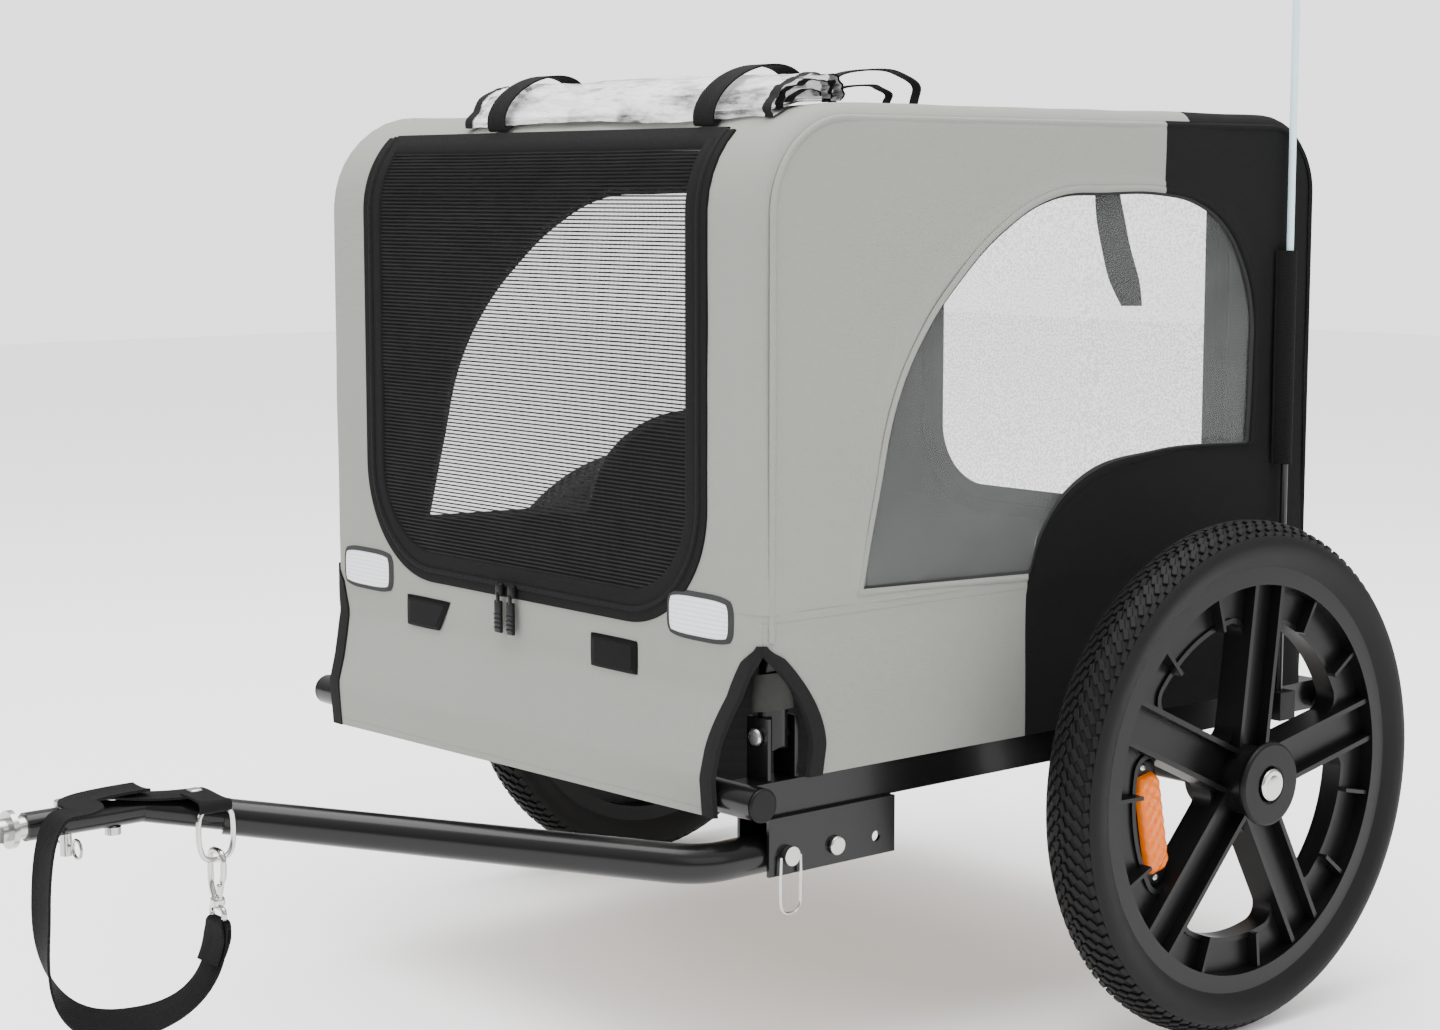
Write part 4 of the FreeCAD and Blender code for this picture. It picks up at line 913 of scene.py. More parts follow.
# %% Corner path and arch edge
HALF_CORNER = EDGE_ROUND * math.pi / 4
SIDE_LOW_Z, FRONT_LOW_Z = 0.2405, 0.206
ARCH_TOP_Z, ARCH_FOOT_Z, ARCH_REACH = 0.336, 0.262, 0.047
SKIRT_BEND_Z, SKIRT_STAND_Z, SKIRT_OUT = 0.300, 0.2425, 0.0195
FRONT_RUN = 2 * (SIDE_X - EDGE_ROUND) + 2 * HALF_CORNER
SIDE_RUN = REAR_Y - FRONT_Y - 2 * EDGE_ROUND + 2 * HALF_CORNER


def arch_edge(z):
    """How far the arch cuts back from the corner at height z."""
    if z >= ARCH_TOP_Z:
        return 0.0
    t = max(0.0, (z - ARCH_FOOT_Z) / (ARCH_TOP_Z - ARCH_FOOT_Z))
    foot = 0.16 * max(0.0, ARCH_FOOT_Z - z)
    return ARCH_REACH * (1 - t ** 1.8) - foot


def flare(z):
    """The front skirt stands off the corner posts below its bend."""
    return SKIRT_OUT * limited((SKIRT_BEND_Z - z) / (SKIRT_BEND_Z - SKIRT_STAND_Z))


def corner_walk(d, run, half):
    """(across, inward) at d along a run that goes from one rounded corner's middle to the other's."""
    mirrored = d > run / 2
    d = run - d if mirrored else d
    if d < HALF_CORNER:
        a = math.pi / 4 - d / EDGE_ROUND
        across = half - EDGE_ROUND + EDGE_ROUND * math.sin(a)
        inward = EDGE_ROUND - EDGE_ROUND * math.cos(a)
    else:
        across, inward = half - EDGE_ROUND - (d - HALF_CORNER), 0.0
    return (-across if mirrored else across), inward


def side_skirt_point(sign, d, z, lift=0.0):
    along, inward = corner_walk(d, SIDE_RUN, (REAR_Y - FRONT_Y) / 2)
    return sign * (SIDE_X - inward + lift), (FRONT_Y + REAR_Y) / 2 - along, z


def front_point(d, z, lift=0.0):
    across, inward = corner_walk(d, FRONT_RUN, SIDE_X)
    return across, FRONT_Y + inward - flare(z) - lift, z


# %% Skirt helpers
SINK_Z, SINK_KEEP = 0.24, 0.45


def hang_between(piece):
    """Bake the piece's place into its mesh."""
    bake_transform(piece)


def sink_with(side, *pieces, keep=SINK_KEEP):
    """Give each piece of the end skirts its own mesh; side and keep are not used."""
    for piece in pieces:
        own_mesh(piece)


# %% Side skirts
SEAM_LAP, SEAM_LIFT = 0.0062, 0.0010


def side_skirt(name, sign):
    columns = sorted(set(ramp(9, 0, 0.05)) | set(ramp(70, 0.05, SIDE_RUN)))
    heights = ramp(22, SIDE_LOW_Z, SEAM_Z)

    def place(u, z):
        d = arch_edge(z) + (SIDE_RUN - arch_edge(z)) * u / SIDE_RUN
        flap = SEAM_LIFT if z > SEAM_Z - SEAM_LAP else 0.0
        sag = 0.0016 * noise.noise(Vector((sign * 3.0, d * 9, z * 14))) + flap
        return side_skirt_point(sign, d, z, sag - 0.001)

    skirt = sheet_grid(name, columns, heights, place, uv=lambda u, z: (u, z),
                       edge=lambda u, z: (u, SEAM_Z - z))
    face_out(skirt, lambda c: Vector((sign, 0, 0)))
    finishes(skirt, canopy_cloth, lining)
    thicken(skirt, CLOTH_T, inner_slot=1)
    return smooth(skirt, 50)


for side, sign in SIDES:
    skirt = side_skirt(side + "_side_skirt", sign)
    hang_between(skirt)
    print(skirt.name, len(skirt.data.polygons), "faces")
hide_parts("side_skirts")

# %% Edges of the front and rear skirts


def door_bottom(half, x):
    """Height of a door opening's lower edge at x, up to the seam."""
    corner = abs(x) - (half - DOOR_ROUND)
    if corner <= 0:
        return DOOR_LOW_Z
    if corner >= DOOR_ROUND:
        return SEAM_Z
    return min(SEAM_Z, DOOR_LOW_Z + DOOR_ROUND - math.sqrt(DOOR_ROUND ** 2 - corner ** 2))


NEAR_BITE, FAR_BITE, FAR_FOOT, HEM_RISE = 0.66, 0.30, 0.45, 0.009


def front_bite(sign, z):
    """How far the arch cuts into the front cloth; the right corner is drawn in only at its foot."""
    if sign > 0:
        return NEAR_BITE * arch_edge(z)
    t = limited((z - FRONT_LOW_Z) / (ARCH_TOP_Z - FRONT_LOW_Z))
    return (FAR_BITE + FAR_FOOT * (1 - t) ** 2) * arch_edge(z)

# %% Sew the end skirts


def end_skirt(name, low, half, point, cut_arch, outward):
    def place(u, v):
        x = corner_walk(u * FRONT_RUN, FRONT_RUN, SIDE_X)[0]
        hem = low + HEM_RISE * (1 - u) if cut_arch else low
        z = hem + v * (door_bottom(half, x) - hem)
        near, far = (front_bite(1, z), front_bite(-1, z)) if cut_arch else (0.0, 0.0)
        d = near + u * (FRONT_RUN - near - far)
        sag = 0.0015 * noise.noise(Vector((d * 8, z * 12, 4.0))) * min(1.0, 3 * (1 - v))
        return point(d, z, sag)

    skirt = sheet_grid(name, ramp(91), ramp(30), place, uv=lambda u, v: (u * FRONT_RUN, v * 0.16),
                       edge=lambda u, v: (u * FRONT_RUN, v * 0.156))
    face_out(skirt, lambda c: Vector(outward))
    finishes(skirt, canopy_cloth, lining)
    thicken(skirt, CLOTH_T, inner_slot=1)
    return smooth(skirt, 50)


def rear_point(d, z, lift=0.0):
    across, inward = corner_walk(d, FRONT_RUN, SIDE_X)
    return across, REAR_Y - inward + lift, z


front_skirt = end_skirt("front_skirt_cloth", FRONT_LOW_Z, FRONT_DOOR_HALF, front_point, True, (0, -1, 0))
rear_skirt = end_skirt("rear_skirt_cloth", SIDE_LOW_Z, REAR_DOOR_HALF, rear_point, False, (0, 1, 0))
settle(front_skirt, "base", "front_skirt", slot="grey_cloth")
settle(rear_skirt, "base", "rear_skirt", slot="black_cloth")
sink_with("left", front_skirt)
sink_with("right", rear_skirt, keep=0.5)
print("end skirts", len(front_skirt.data.polygons), len(rear_skirt.data.polygons))

# %% Binding tape round the arches
ARCH_TAPE_W, ARCH_TAPE_LIFT = 0.013, 0.0016


def arch_tape(name, point, sign):
    """Tape folded over the arch's edge: it covers the edge and stands a little proud."""
    on_side = point is side_skirt_point
    low = SIDE_LOW_Z if on_side else FRONT_LOW_Z + (HEM_RISE if sign > 0 else 0.0)

    def place(t, w):
        z = low + (ARCH_TOP_Z + 0.004 - low) * t
        edge_d = max(0.0, arch_edge(z) if on_side else front_bite(sign, z))
        point_in = min(1.0, (1 - t) / 0.10)
        d = edge_d + (w - 0.15) * ARCH_TAPE_W * (0.25 + 0.75 * point_in)
        lift = ARCH_TAPE_LIFT if -0.1 < w < 1.01 else -ARCH_TAPE_LIFT
        if on_side:
            return point(sign, max(d, -HALF_CORNER * 0.5), z, lift)
        across, y, z = point(max(d, -HALF_CORNER * 0.5), z, lift)
        return sign * across, y, z

    tape = sheet_grid(name, ramp(40), [-0.12, 0.0, 0.15, 0.5, 0.9, 1.0, 1.05], place,
                      uv=lambda t, w: (t * 0.15, w * ARCH_TAPE_W))
    return finishes(tape, binding)


for side, sign in SIDES:
    side_tape = smooth(arch_tape(side + "_arch_tape", side_skirt_point, sign), 60)
    hang_between(side_tape)
    front_tape = smooth(arch_tape(side + "_front_arch_tape", front_point, sign), 60)
    settle(front_tape, "base", slot="black_cloth")
    sink_with("left", front_tape)
print("arch tapes sewn")

# %% [markdown]
# ## Mesh door and zips
# The front door is a black net that the light comes through. Its holes could be cut in the mesh, but
# as a see-through pattern they cost no faces. A zip runs round it in a U. Its tapes and its ribbed
# coil follow the outline, each at its own distance from it.

# %% Net and zip finishes
net, net_tree, net_shader = new_finish("door_net", (0.0022, 0.0022, 0.0024), 0.8, Specular_IOR_Level=0.10)
net_axes = split_xyz(net_tree, uv_place(net_tree))
NET_ROW, NET_COLUMN = 1 / 0.0030, 1 / 0.0016
ROW_YARN, COLUMN_YARN = 0.42, 0.30
row = maths(net_tree, "FRACT", maths(net_tree, "MULTIPLY", net_axes[1], NET_ROW))
column = maths(net_tree, "FRACT", maths(net_tree, "MULTIPLY", net_axes[0], NET_COLUMN))
row_open = maths(net_tree, "GREATER_THAN", row, ROW_YARN)
column_open = maths(net_tree, "GREATER_THAN", column, COLUMN_YARN)
hole = maths(net_tree, "MULTIPLY", row_open, column_open)
net_tree.links.new(maths(net_tree, "SUBTRACT", 1.0, hole), net_shader.inputs["Alpha"])
net_cloud = noise_field(net_tree, object_place(net_tree), 40.0)
net_tree.links.new(color_mix(net_tree, net_cloud, (0.003, 0.003, 0.0035), (0.010, 0.010, 0.0105)),
                   net_shader.inputs["Base Color"])
net_tree.links.new(value_range(net_tree, row, 0.5, 0.8), net_shader.inputs["Roughness"])
add_bump(net_tree, net_shader, row, 0.0003, 0.7)

coil = webbing_finish("zip_coil", (0.0045, 0.0045, 0.0048), ribs=600.0, depth=0.0003)

# %% Door outlines


def door_line(half, top_s, count):
    """Outline of a door in flat cloth, round from its right top: (x, s), the way inward, the run."""
    low = DOOR_LOW_Z - SEAM_Z
    straight = top_s - (low + DOOR_ROUND)
    flat = 2 * (half - DOOR_ROUND)
    arc = DOOR_ROUND * math.pi / 2
    rows = []
    for t in ramp(count, 0.0, 2 * straight + 2 * arc + flat):
        d, mirrored = t, t > straight + arc + flat / 2
        if mirrored:
            d = 2 * straight + 2 * arc + flat - t
        if d <= straight:
            x, s, nx, ns = -half, top_s - d, 1.0, 0.0
        elif d <= straight + arc:
            a = (d - straight) / DOOR_ROUND
            nx, ns = math.cos(a), math.sin(a)
            x, s = -half + DOOR_ROUND - DOOR_ROUND * nx, low + DOOR_ROUND - DOOR_ROUND * ns
        else:
            x, s, nx, ns = -half + DOOR_ROUND + d - straight - arc, low, 0.0, 1.0
        rows.append((-x if mirrored else x, s, -nx if mirrored else nx, ns, t))
    return rows


def follow(name, line, widths, lifts, point, material, pitch=0.0):
    """A strip that follows a door's outline: widths inward from it, lifts off the cloth."""
    def place(u, v):
        x, s, nx, ns, t = line[round(u)]
        k = round(v)
        rib = 0.00035 * math.cos(math.tau * t / pitch) if pitch and lifts[k] > 0.0016 else 0.0
        return point(x + nx * widths[k], s + ns * widths[k], lifts[k] + rib)

    strip = sheet_grid(name, indices(line), indices(widths), place,
                       uv=lambda u, v: (line[round(u)][4], widths[round(v)]))
    return finishes(strip, material)


# %% Front door
COIL_WIDTHS, COIL_LIFTS = (-0.0026, -0.0018, 0.0, 0.0018, 0.0026), (0.0, 0.0020, 0.0026, 0.0020, 0.0)
COIL_PITCH = 0.0024
EDGE_TAPE_WIDTHS = (-0.0015, -0.002, -0.006, -0.0095, -0.0105)
EDGE_TAPE_LIFTS = (-0.001, 0.0010, 0.0014, 0.0014, -0.001)
front_line = door_line(FRONT_DOOR_HALF, FRONT_DOOR_TOP, 300)
NET_INSET, NET_SAG = 0.006, 0.004


def net_place(u, s):
    z = SEAM_Z + s if s < RUN_FRONT else 1.0
    half = door_half(FRONT_DOOR_HALF, z) - NET_INSET
    bow = -NET_SAG * math.cos(math.pi * u / 2) * math.sin(math.pi * limited((s + 0.012) / 0.36))
    return tent_point(u * half, s, bow + 0.0006 * noise.noise(Vector((u * 4, s * 20, 1))))


net_sheet = sheet_grid("front_door_net", ramp(50, -1, 1),
                       ramp(60, DOOR_LOW_Z - SEAM_Z + 0.004, FRONT_DOOR_TOP), net_place,
                       uv=lambda u, s: (u * FRONT_DOOR_HALF, s))
face_out(finishes(net_sheet, net), lambda c: Vector((0, -1, 0.3)))
smooth(net_sheet, 60)
settle(net_sheet, "front_door", "front_door", slot="mesh")
door_tape = follow("front_door_tape", front_line, [0.0015, 0.002, 0.0075, 0.013, 0.0145, 0.0155],
                   [-0.001, 0.0008, 0.0012, 0.0012, 0.0006, -0.0015], tent_point, zip_tape)
door_coil = follow("front_door_coil", front_line, COIL_WIDTHS, COIL_LIFTS, tent_point, coil, COIL_PITCH)
canopy_tape = follow("front_zip_tape", front_line, EDGE_TAPE_WIDTHS, EDGE_TAPE_LIFTS, tent_point, zip_tape)
top_line = [(x, FRONT_DOOR_TOP, 0.0, -1.0, x + 0.3) for x in ramp(60, -FRONT_DOOR_HALF, FRONT_DOOR_HALF)]
door_head = follow("front_door_head", top_line, [-0.004, -0.003, 0.006, 0.016, 0.018],
                   [-0.001, 0.0012, 0.0014, 0.0010, -0.001], tent_point, zip_tape)
for obj, body in ((door_tape, "front_door"), (door_coil, "front_door"), (door_head, "front_door"),
                  (canopy_tape, "left_hoop")):
    settle(smooth(obj, 60), body, slot="black_cloth")
flatten_with("left", net_sheet, door_tape, door_coil, canopy_tape, door_head)
print("front door", len(net_sheet.data.polygons), "zip", len(door_coil.data.polygons))

# %% Rear door
rear_top = PATH - REAR_DOOR_TOP


def back_point(x, s, lift=0.0):
    """Point on the back, with s measured up from the rear seam."""
    return tent_point(x, PATH - s, lift)


rear_line = door_line(REAR_DOOR_HALF, rear_top, 300)
REAR_BORDER, REAR_TAPE_WIDTHS = 0.026, (0.0015, 0.002, 0.008, 0.013, 0.0145)


def rear_place(u, s):
    z = SEAM_Z + s if s < RUN_REAR else 1.0
    half = door_half(REAR_DOOR_HALF, z) - REAR_BORDER
    return back_point(u * half, s, 0.0015 * noise.noise(Vector((u * 3, s * 9, 8))))


rear_mesh, rear_mesh_tree, rear_mesh_shader = new_finish("rear_mesh", (0.0040, 0.0040, 0.0042), 0.8,
                                                         Specular_IOR_Level=0.10)
knit = noise_field(rear_mesh_tree, object_place(rear_mesh_tree), 520.0, 1.0)
yarn = maths(rear_mesh_tree, "MULTIPLY_ADD", maths(rear_mesh_tree, "GREATER_THAN", knit, 0.50), 0.30, 0.06)
rear_mesh_tree.links.new(yarn, rear_mesh_shader.inputs["Alpha"])

rear_net = sheet_grid("rear_door_net", ramp(44, -1, 1), ramp(50, DOOR_LOW_Z - SEAM_Z + 0.022, rear_top),
                      rear_place, uv=lambda u, s: (u * REAR_DOOR_HALF * 1.8, s * 1.9))
face_out(finishes(rear_net, rear_mesh), lambda c: Vector((0, 1, 0.3)))
settle(smooth(rear_net, 50), "rear_door", "rear_door", slot="mesh")
rear_border = follow("rear_door_border", rear_line, (0.002, 0.010, 0.020, 0.0285),
                     (0.0004, 0.0006, 0.0006, 0.0003), back_point, black_cloth)
settle(smooth(rear_border, 50), "rear_door", slot="black_cloth")
rear_pieces = [rear_net, rear_border]
for name, widths, lifts, finish, pitch, body in (
        ("rear_door_tape", REAR_TAPE_WIDTHS, EDGE_TAPE_LIFTS, zip_tape, 0.0, "rear_door"),
        ("rear_door_coil", COIL_WIDTHS, COIL_LIFTS, coil, COIL_PITCH, "rear_door"),
        ("rear_zip_tape", EDGE_TAPE_WIDTHS, EDGE_TAPE_LIFTS, zip_tape, 0.0, "right_hoop")):
    strip = follow(name, rear_line, widths, lifts, back_point, finish, pitch)
    settle(smooth(strip, 60), body, slot="black_cloth")
    rear_pieces.append(strip)
flatten_with("right", *rear_pieces)
print("rear door pieces", len(rear_pieces))

# %% [markdown]
# ## Windows
# Clear film is never flat. It puckers along its sewn edge and crinkles across the middle, and those
# facets are what shows it in the light. A simulation could make them, but noise on a grid gives the
# same ones at each run.

# %% Film finish
film, film_tree, film_shader = new_finish("clear_film", (0.55, 0.57, 0.56), 0.08, IOR=1.5)
film_place = object_place(film_tree)
streak_map = film_tree.nodes.new("ShaderNodeMapping")
streak_map.inputs["Scale"].default_value = (1.0, 1.0, 0.35)
streak_map.inputs["Rotation"].default_value = (0.5, 0.0, 0.0)
film_tree.links.new(film_place, streak_map.inputs["Vector"])
crinkle = noise_field(film_tree, streak_map.outputs["Vector"], 14.0, 2.0, 0.4)
haze = noise_field(film_tree, film_place, 7.0, 3.0)
# Grey veil: partly the film's own haze and partly a painted reflection, denser lower down.
film_height = split_xyz(film_tree, film_place)[2]
low_down = maths(film_tree, "MULTIPLY_ADD", film_height, -2.4, 1.75)
haze_and_reflection = maths(film_tree, "MULTIPLY_ADD", haze, 0.5, maths(film_tree, "MULTIPLY", low_down, 0.5))
film_tree.links.new(value_range(film_tree, haze_and_reflection, 0.035, 0.17), film_shader.inputs["Alpha"])
film_tree.links.new(value_range(film_tree, haze, 0.03, 0.10), film_shader.inputs["Roughness"])
add_bump(film_tree, film_shader, crinkle, 0.006, 0.35)

# %% Window films
FILM_LAP, FILM_BACK = 0.005, 0.0042
WHEEL_ARCH_Y, WHEEL_ARCH_Z = 0.18, 0.50
window_loop = window_points + [window_points[0]]


def window_spread(y, z, further, share=1.0):
    """A point of the window's edge moved further out from its centre, then drawn in to a share."""
    centre_y, centre_z = window_centre
    scale = share * (1 + further / math.hypot(y - centre_y, z - centre_z))
    return centre_y + (y - centre_y) * scale, centre_z + (z - centre_z) * scale


def window_film(name, sign):
    def place(u, v):
        y, z = window_loop[round(u)]
        py, pz = window_spread(y, z, FILM_LAP, v)
        p = Vector((sign, py, pz))
        loose = min(1.0, 4 * (1 - v))
        pucker = 0.0012 * noise.noise(p * 30) + 0.003 * noise.noise(p * 9 + Vector((0, 5, 2))) * loose
        over_arch = limited((y - WHEEL_ARCH_Y) / 0.06) * limited((WHEEL_ARCH_Z - z) / 0.04)
        pucker += 0.0011 * over_arch * math.sin(38 * (1 - v) + 5 * py) * math.exp(-((1 - v) / 0.16) ** 2)
        return sign * (SIDE_X - FILM_BACK + pucker), py, pz

    sheet = sheet_grid(name, indices(window_loop), [0.0] + ramp(44, 0.03, 1.0), place,
                       uv=lambda u, v: place(u, v)[1:])
    join(name, [sheet], merge=0.00001)
    face_out(sheet, lambda c: Vector((sign, 0, 0)))
    return smooth(finishes(sheet, film), 60)


for side, sign in SIDES:
    pane = window_film(side + "_window_film", sign)
    settle(pane, side + "_hoop", side + "_window", slot="clear_film")
    flatten_with(side, pane)

# %% Turned edge and painted shadow line round each window
SHADOW_LINE_LIFTS, SHADOW_LINE_STEPS = (-0.0026, -0.0012, -0.0004), (-0.0024, -0.0016, 0.0008)
HEM_LIFTS, HEM_STEPS = (0.0001, 0.0011, 0.0013, 0.0010, 0.0001), (0.0003, 0.0010, 0.0030, 0.0052, 0.0060)


def window_rim(name, sign, lifts, steps, material):
    """A narrow strip round the window: a turned and sewn cloth edge, or a painted shadow line."""
    def place(u, k):
        return sign * (SIDE_X + lifts[round(k)]), *window_spread(*window_loop[round(u)], steps[round(k)])

    rim = sheet_grid(name, indices(window_loop), indices(steps), place,
                     uv=lambda u, k: (u * 0.004, steps[round(k)]))
    return smooth(finishes(join(name, [rim], merge=0.00001), material), 60)


for side, sign in SIDES:
    # The strip of dark lining just inside the window's edge is a painted shadow line between cloth and film.
    shadow_line = window_rim(side + "_window_gap", sign, SHADOW_LINE_LIFTS, SHADOW_LINE_STEPS, lining)
    hem = window_rim(side + "_window_hem", sign, HEM_LIFTS, HEM_STEPS, canopy_cloth)
    settle(shadow_line, side + "_hoop", slot="black_cloth")
    settle(hem, side + "_hoop", slot="grey_cloth")
    flatten_with(side, shadow_line, hem)
print("window edges", len(hem.data.polygons), "faces each hem")

# %% [markdown]
# ## Rolled rain cover
# The rain cover is the same clear film, wound up loosely over the front edge and held by two
# straps. It is a spiral sheet with creases along it, bound in black tape at its ends. A simulation
# could wind it, but a drawn spiral lies just where the straps hold it.

# %% Roll finish
roll_film, roll_tree, roll_shader = new_finish("rolled_film", (0.86, 0.87, 0.86), 0.10)
roll_place = object_place(roll_tree)
roll_map = roll_tree.nodes.new("ShaderNodeMapping")
roll_map.inputs["Scale"].default_value = (0.30, 1.0, 1.0)
roll_tree.links.new(roll_place, roll_map.inputs["Vector"])
creases = noise_field(roll_tree, roll_map.outputs["Vector"], 60.0, 4.0, 0.6)
# Painted highlight and shade: the ramp turns crease noise into dark and near-white film colour.
crease_highlight_and_shade = roll_tree.nodes.new("ShaderNodeValToRGB")
crease_highlight_and_shade.color_ramp.elements[0].position, crease_highlight_and_shade.color_ramp.elements[0].color = 0.34, (0.05, 0.05, 0.05, 1)
crease_highlight_and_shade.color_ramp.elements[1].position, crease_highlight_and_shade.color_ramp.elements[1].color = 0.52, (0.88, 0.89, 0.88, 1)
roll_tree.links.new(creases, crease_highlight_and_shade.inputs["Fac"])
roll_tree.links.new(crease_highlight_and_shade.outputs["Color"], roll_shader.inputs["Base Color"])
roll_tree.links.new(value_range(roll_tree, creases, 0.35, 0.75), roll_shader.inputs["Alpha"])
roll_tree.links.new(value_range(roll_tree, creases, 0.04, 0.16), roll_shader.inputs["Roughness"])
add_bump(roll_tree, roll_shader, creases, 0.010, 0.8)

# %% Wind the roll
ROLL_Y, ROLL_Z, ROLL_TILT = 0.0040, 0.7235, math.radians(20)
ROLL_R, ROLL_CORE, ROLL_WIDE = 0.0232, 0.0060, 1.75
ROLL_X0, ROLL_X1, ROLL_TURNS = -0.125, 0.250, 2.7


def above_roof(y, z, clear):
    """Keep a point of the bundle on top of the canopy's front curve and roof."""
    drop = max(0.0, FRONT_Y + FRONT_ROUND - y)
    roof = ROOF_Z - FRONT_ROUND + math.sqrt(max(0.0, FRONT_ROUND ** 2 - drop ** 2))
    return max(z, roof + clear)


def bundle(a, r):
    """Flattened and tilted section of the bundle at angle a: (y, z)."""
    across, up = ROLL_WIDE * r * math.cos(a), r * math.sin(a)
    return (ROLL_Y + across * math.cos(ROLL_TILT) - up * math.sin(ROLL_TILT),
            ROLL_Z + across * math.sin(ROLL_TILT) + up * math.cos(ROLL_TILT))


def roll_point(x, t, lift=0.0):
    """Point on the wound film: t runs from the core to the loose outer edge."""
    a = -0.6 + math.tau * ROLL_TURNS * t
    p = Vector((x * 9.0, math.cos(a) * 1.5, math.sin(a) * 1.5 + 4 * t))
    crease = 0.0034 * noise.noise(p) + 0.0016 * noise.noise(p * 2.7) + 0.0008 * noise.noise(p * 7.0)
    r = ROLL_CORE + (ROLL_R - ROLL_CORE) * t + crease * min(1.0, 2 * t) - 0.0012 * t + lift
    y, z = bundle(a, r)
    return x, y, above_roof(y, z, 0.0006 + 0.004 * (1 - t))


roll = sheet_grid("rain_roll_film", ramp(120, ROLL_X0, ROLL_X1), ramp(150), roll_point,
                  uv=lambda x, t: (x, t * 0.28))
finishes(roll, roll_film)
smooth(roll, 60)
roll_edges = []
for n, (x0, x1) in enumerate(((ROLL_X0 - 0.001, ROLL_X0 + 0.009), (ROLL_X1 - 0.009, ROLL_X1 + 0.001))):
    edge = sheet_grid("rain_roll_binding_%d" % n, ramp(5, x0, x1), ramp(150),
                      lambda x, t: roll_point(x, t, 0.0007), uv=lambda x, t: (t * 0.28, x))
    roll_edges.append(smooth(finishes(edge, binding), 60))
settle(roll, "left_hoop", "rain_cover_roll", slot="clear_film")
for edge in roll_edges:
    settle(edge, "left_hoop", slot="black_cloth")
flatten_with("left", roll, *roll_edges)
print("roll faces", len(roll.data.polygons))

# %% Straps and end loops of the roll
STRAP_HALF, STRAP_R, ROLL_STRAP_XS = 0.0115, 0.0250, (-0.076, 0.186)
ROOF_TOP = ROOF_Z + 0.0008


def roll_strap_point(t):
    """Up from the roof, over the roll and down again: (y, z) at share t."""
    y, z = bundle(math.pi * (1.12 - 1.16 * t), STRAP_R)
    return y, above_roof(y, z, 0.0010)


roll_straps = []
for n, middle in enumerate(ROLL_STRAP_XS):
    lean = 0.006 if n else -0.004
    tie = sheet_grid("roll_strap_%d" % n, ramp(60), [-1, -0.9, 0, 0.9, 1],
                     lambda t, w: (middle + w * STRAP_HALF + lean * (t - 0.5), *roll_strap_point(t)),
                     uv=lambda t, w: (t * 0.13, w * STRAP_HALF))
    finishes(tie, webbing)
    face_out(tie, lambda c: Vector((0, c.y - ROLL_Y, c.z - ROLL_Z)))
    roll_straps.append(smooth(thicken(tie, 0.0013, offset=1.0), 60))


def end_loop(name, y0, y1, top, x, half):
    """A bound tape loop that stands up from the roof at the roll's near end."""
    def place(t, w):
        a = math.pi * t
        flop = 0.008 * math.sin(a) ** 2 + 0.003 * math.sin(5 * a)
        return (x + w * half + flop, (y0 + y1) / 2 - (y1 - y0) / 2 * math.cos(a) * (1 + 0.15 * math.sin(a)),
                ROOF_TOP + (top - ROOF_TOP) * math.sin(a) ** 0.6)

    loop = sheet_grid(name, ramp(40), [-1, -0.8, 0, 0.8, 1], place, uv=lambda t, w: (t * 0.1, w * half))
    finishes(loop, binding)
    return smooth(thicken(loop, 0.0014, offset=0.0), 60)


roll_straps.append(end_loop("roll_end_loop_a", 0.030, 0.118, 0.748, 0.240, 0.0042))
roll_straps.append(end_loop("roll_end_loop_b", 0.046, 0.100, 0.737, 0.229, 0.0038))
settle(roll_straps[0], "left_hoop", "roll_straps", slot="webbing")
for obj in roll_straps[1:]:
    settle(obj, "left_hoop", slot="webbing")
flatten_with("left", *roll_straps)
print("roll straps", len(roll_straps))

# %% [markdown]
# ## Tyres
# The tyre's section is drawn once and spun round the axle. The tread is one short pitch of slanted
# blocks, copied round in the same way. A bump pattern would be lighter, but the blocks stand out at
# the tyre's edge against the floor, where a bump shows nothing.

# %% Tyre body
WHEEL_X, WHEEL_Y, WHEEL_Z = 0.374, 0.3455, 0.203
TYRE_R, TYRE_SEAT_R, TYRE_PITCHES = 0.2029, 0.1585, 108
CROWN_DROP, CROWN_HALF, TREAD_DEEP = 0.0085, 0.019, 0.0022
SIDEWALL = ((-0.0160, TYRE_SEAT_R), (-0.0175, 0.1672), (-0.0195, 0.1700), (-0.0236, 0.1765),
            (-0.0249, 0.1840), (-0.0241, 0.1895), (-0.0217, 0.1927))


def crown_r(x):
    """Tread radius across the tyre."""
    return TYRE_R - CROWN_DROP * (abs(x) / CROWN_HALF) ** 2.2


def tyre(centre_x):
    """The section as a closed loop, spun round the axle."""
    section = [*SIDEWALL, *((x, crown_r(x) - TREAD_DEEP) for x in ramp(11, -CROWN_HALF, CROWN_HALF))]
    section += [(-x, r) for x, r in reversed(SIDEWALL)]
    wheel = add(bpy.ops.mesh.primitive_circle_add, vertices=len(section), radius=0.01, location=(0, 0, 0))
    for vertex, (x, r) in zip(wheel.data.vertices, section):
        vertex.co = (centre_x + x, WHEEL_Y, WHEEL_Z + r)
    edit_all(wheel)
    bpy.ops.mesh.spin(steps=144, angle=math.tau, center=(centre_x, WHEEL_Y, WHEEL_Z), axis=(1, 0, 0))
    bpy.ops.mesh.select_all(action="SELECT")
    bpy.ops.mesh.remove_doubles(threshold=0.00001)
    bpy.ops.mesh.normals_make_consistent(inside=False)
    leave_edit()
    return wheel

# %% Tread blocks
BLOCK_HIGH, BLOCK_ROUND, BLOCK_SINK = 0.0034, 0.0005, 0.0017
# Each row of blocks: distance from the middle, lag in pitches, slant, width and length
TREAD_ROWS = ((0.0188, 0.5, 0.20, 0.0046, 0.0088), (0.0135, 0.0, 0.55, 0.0044, 0.0094),
              (0.0082, 0.5, 0.55, 0.0044, 0.0094), (0.0027, 0.0, 0.35, 0.0042, 0.0094))


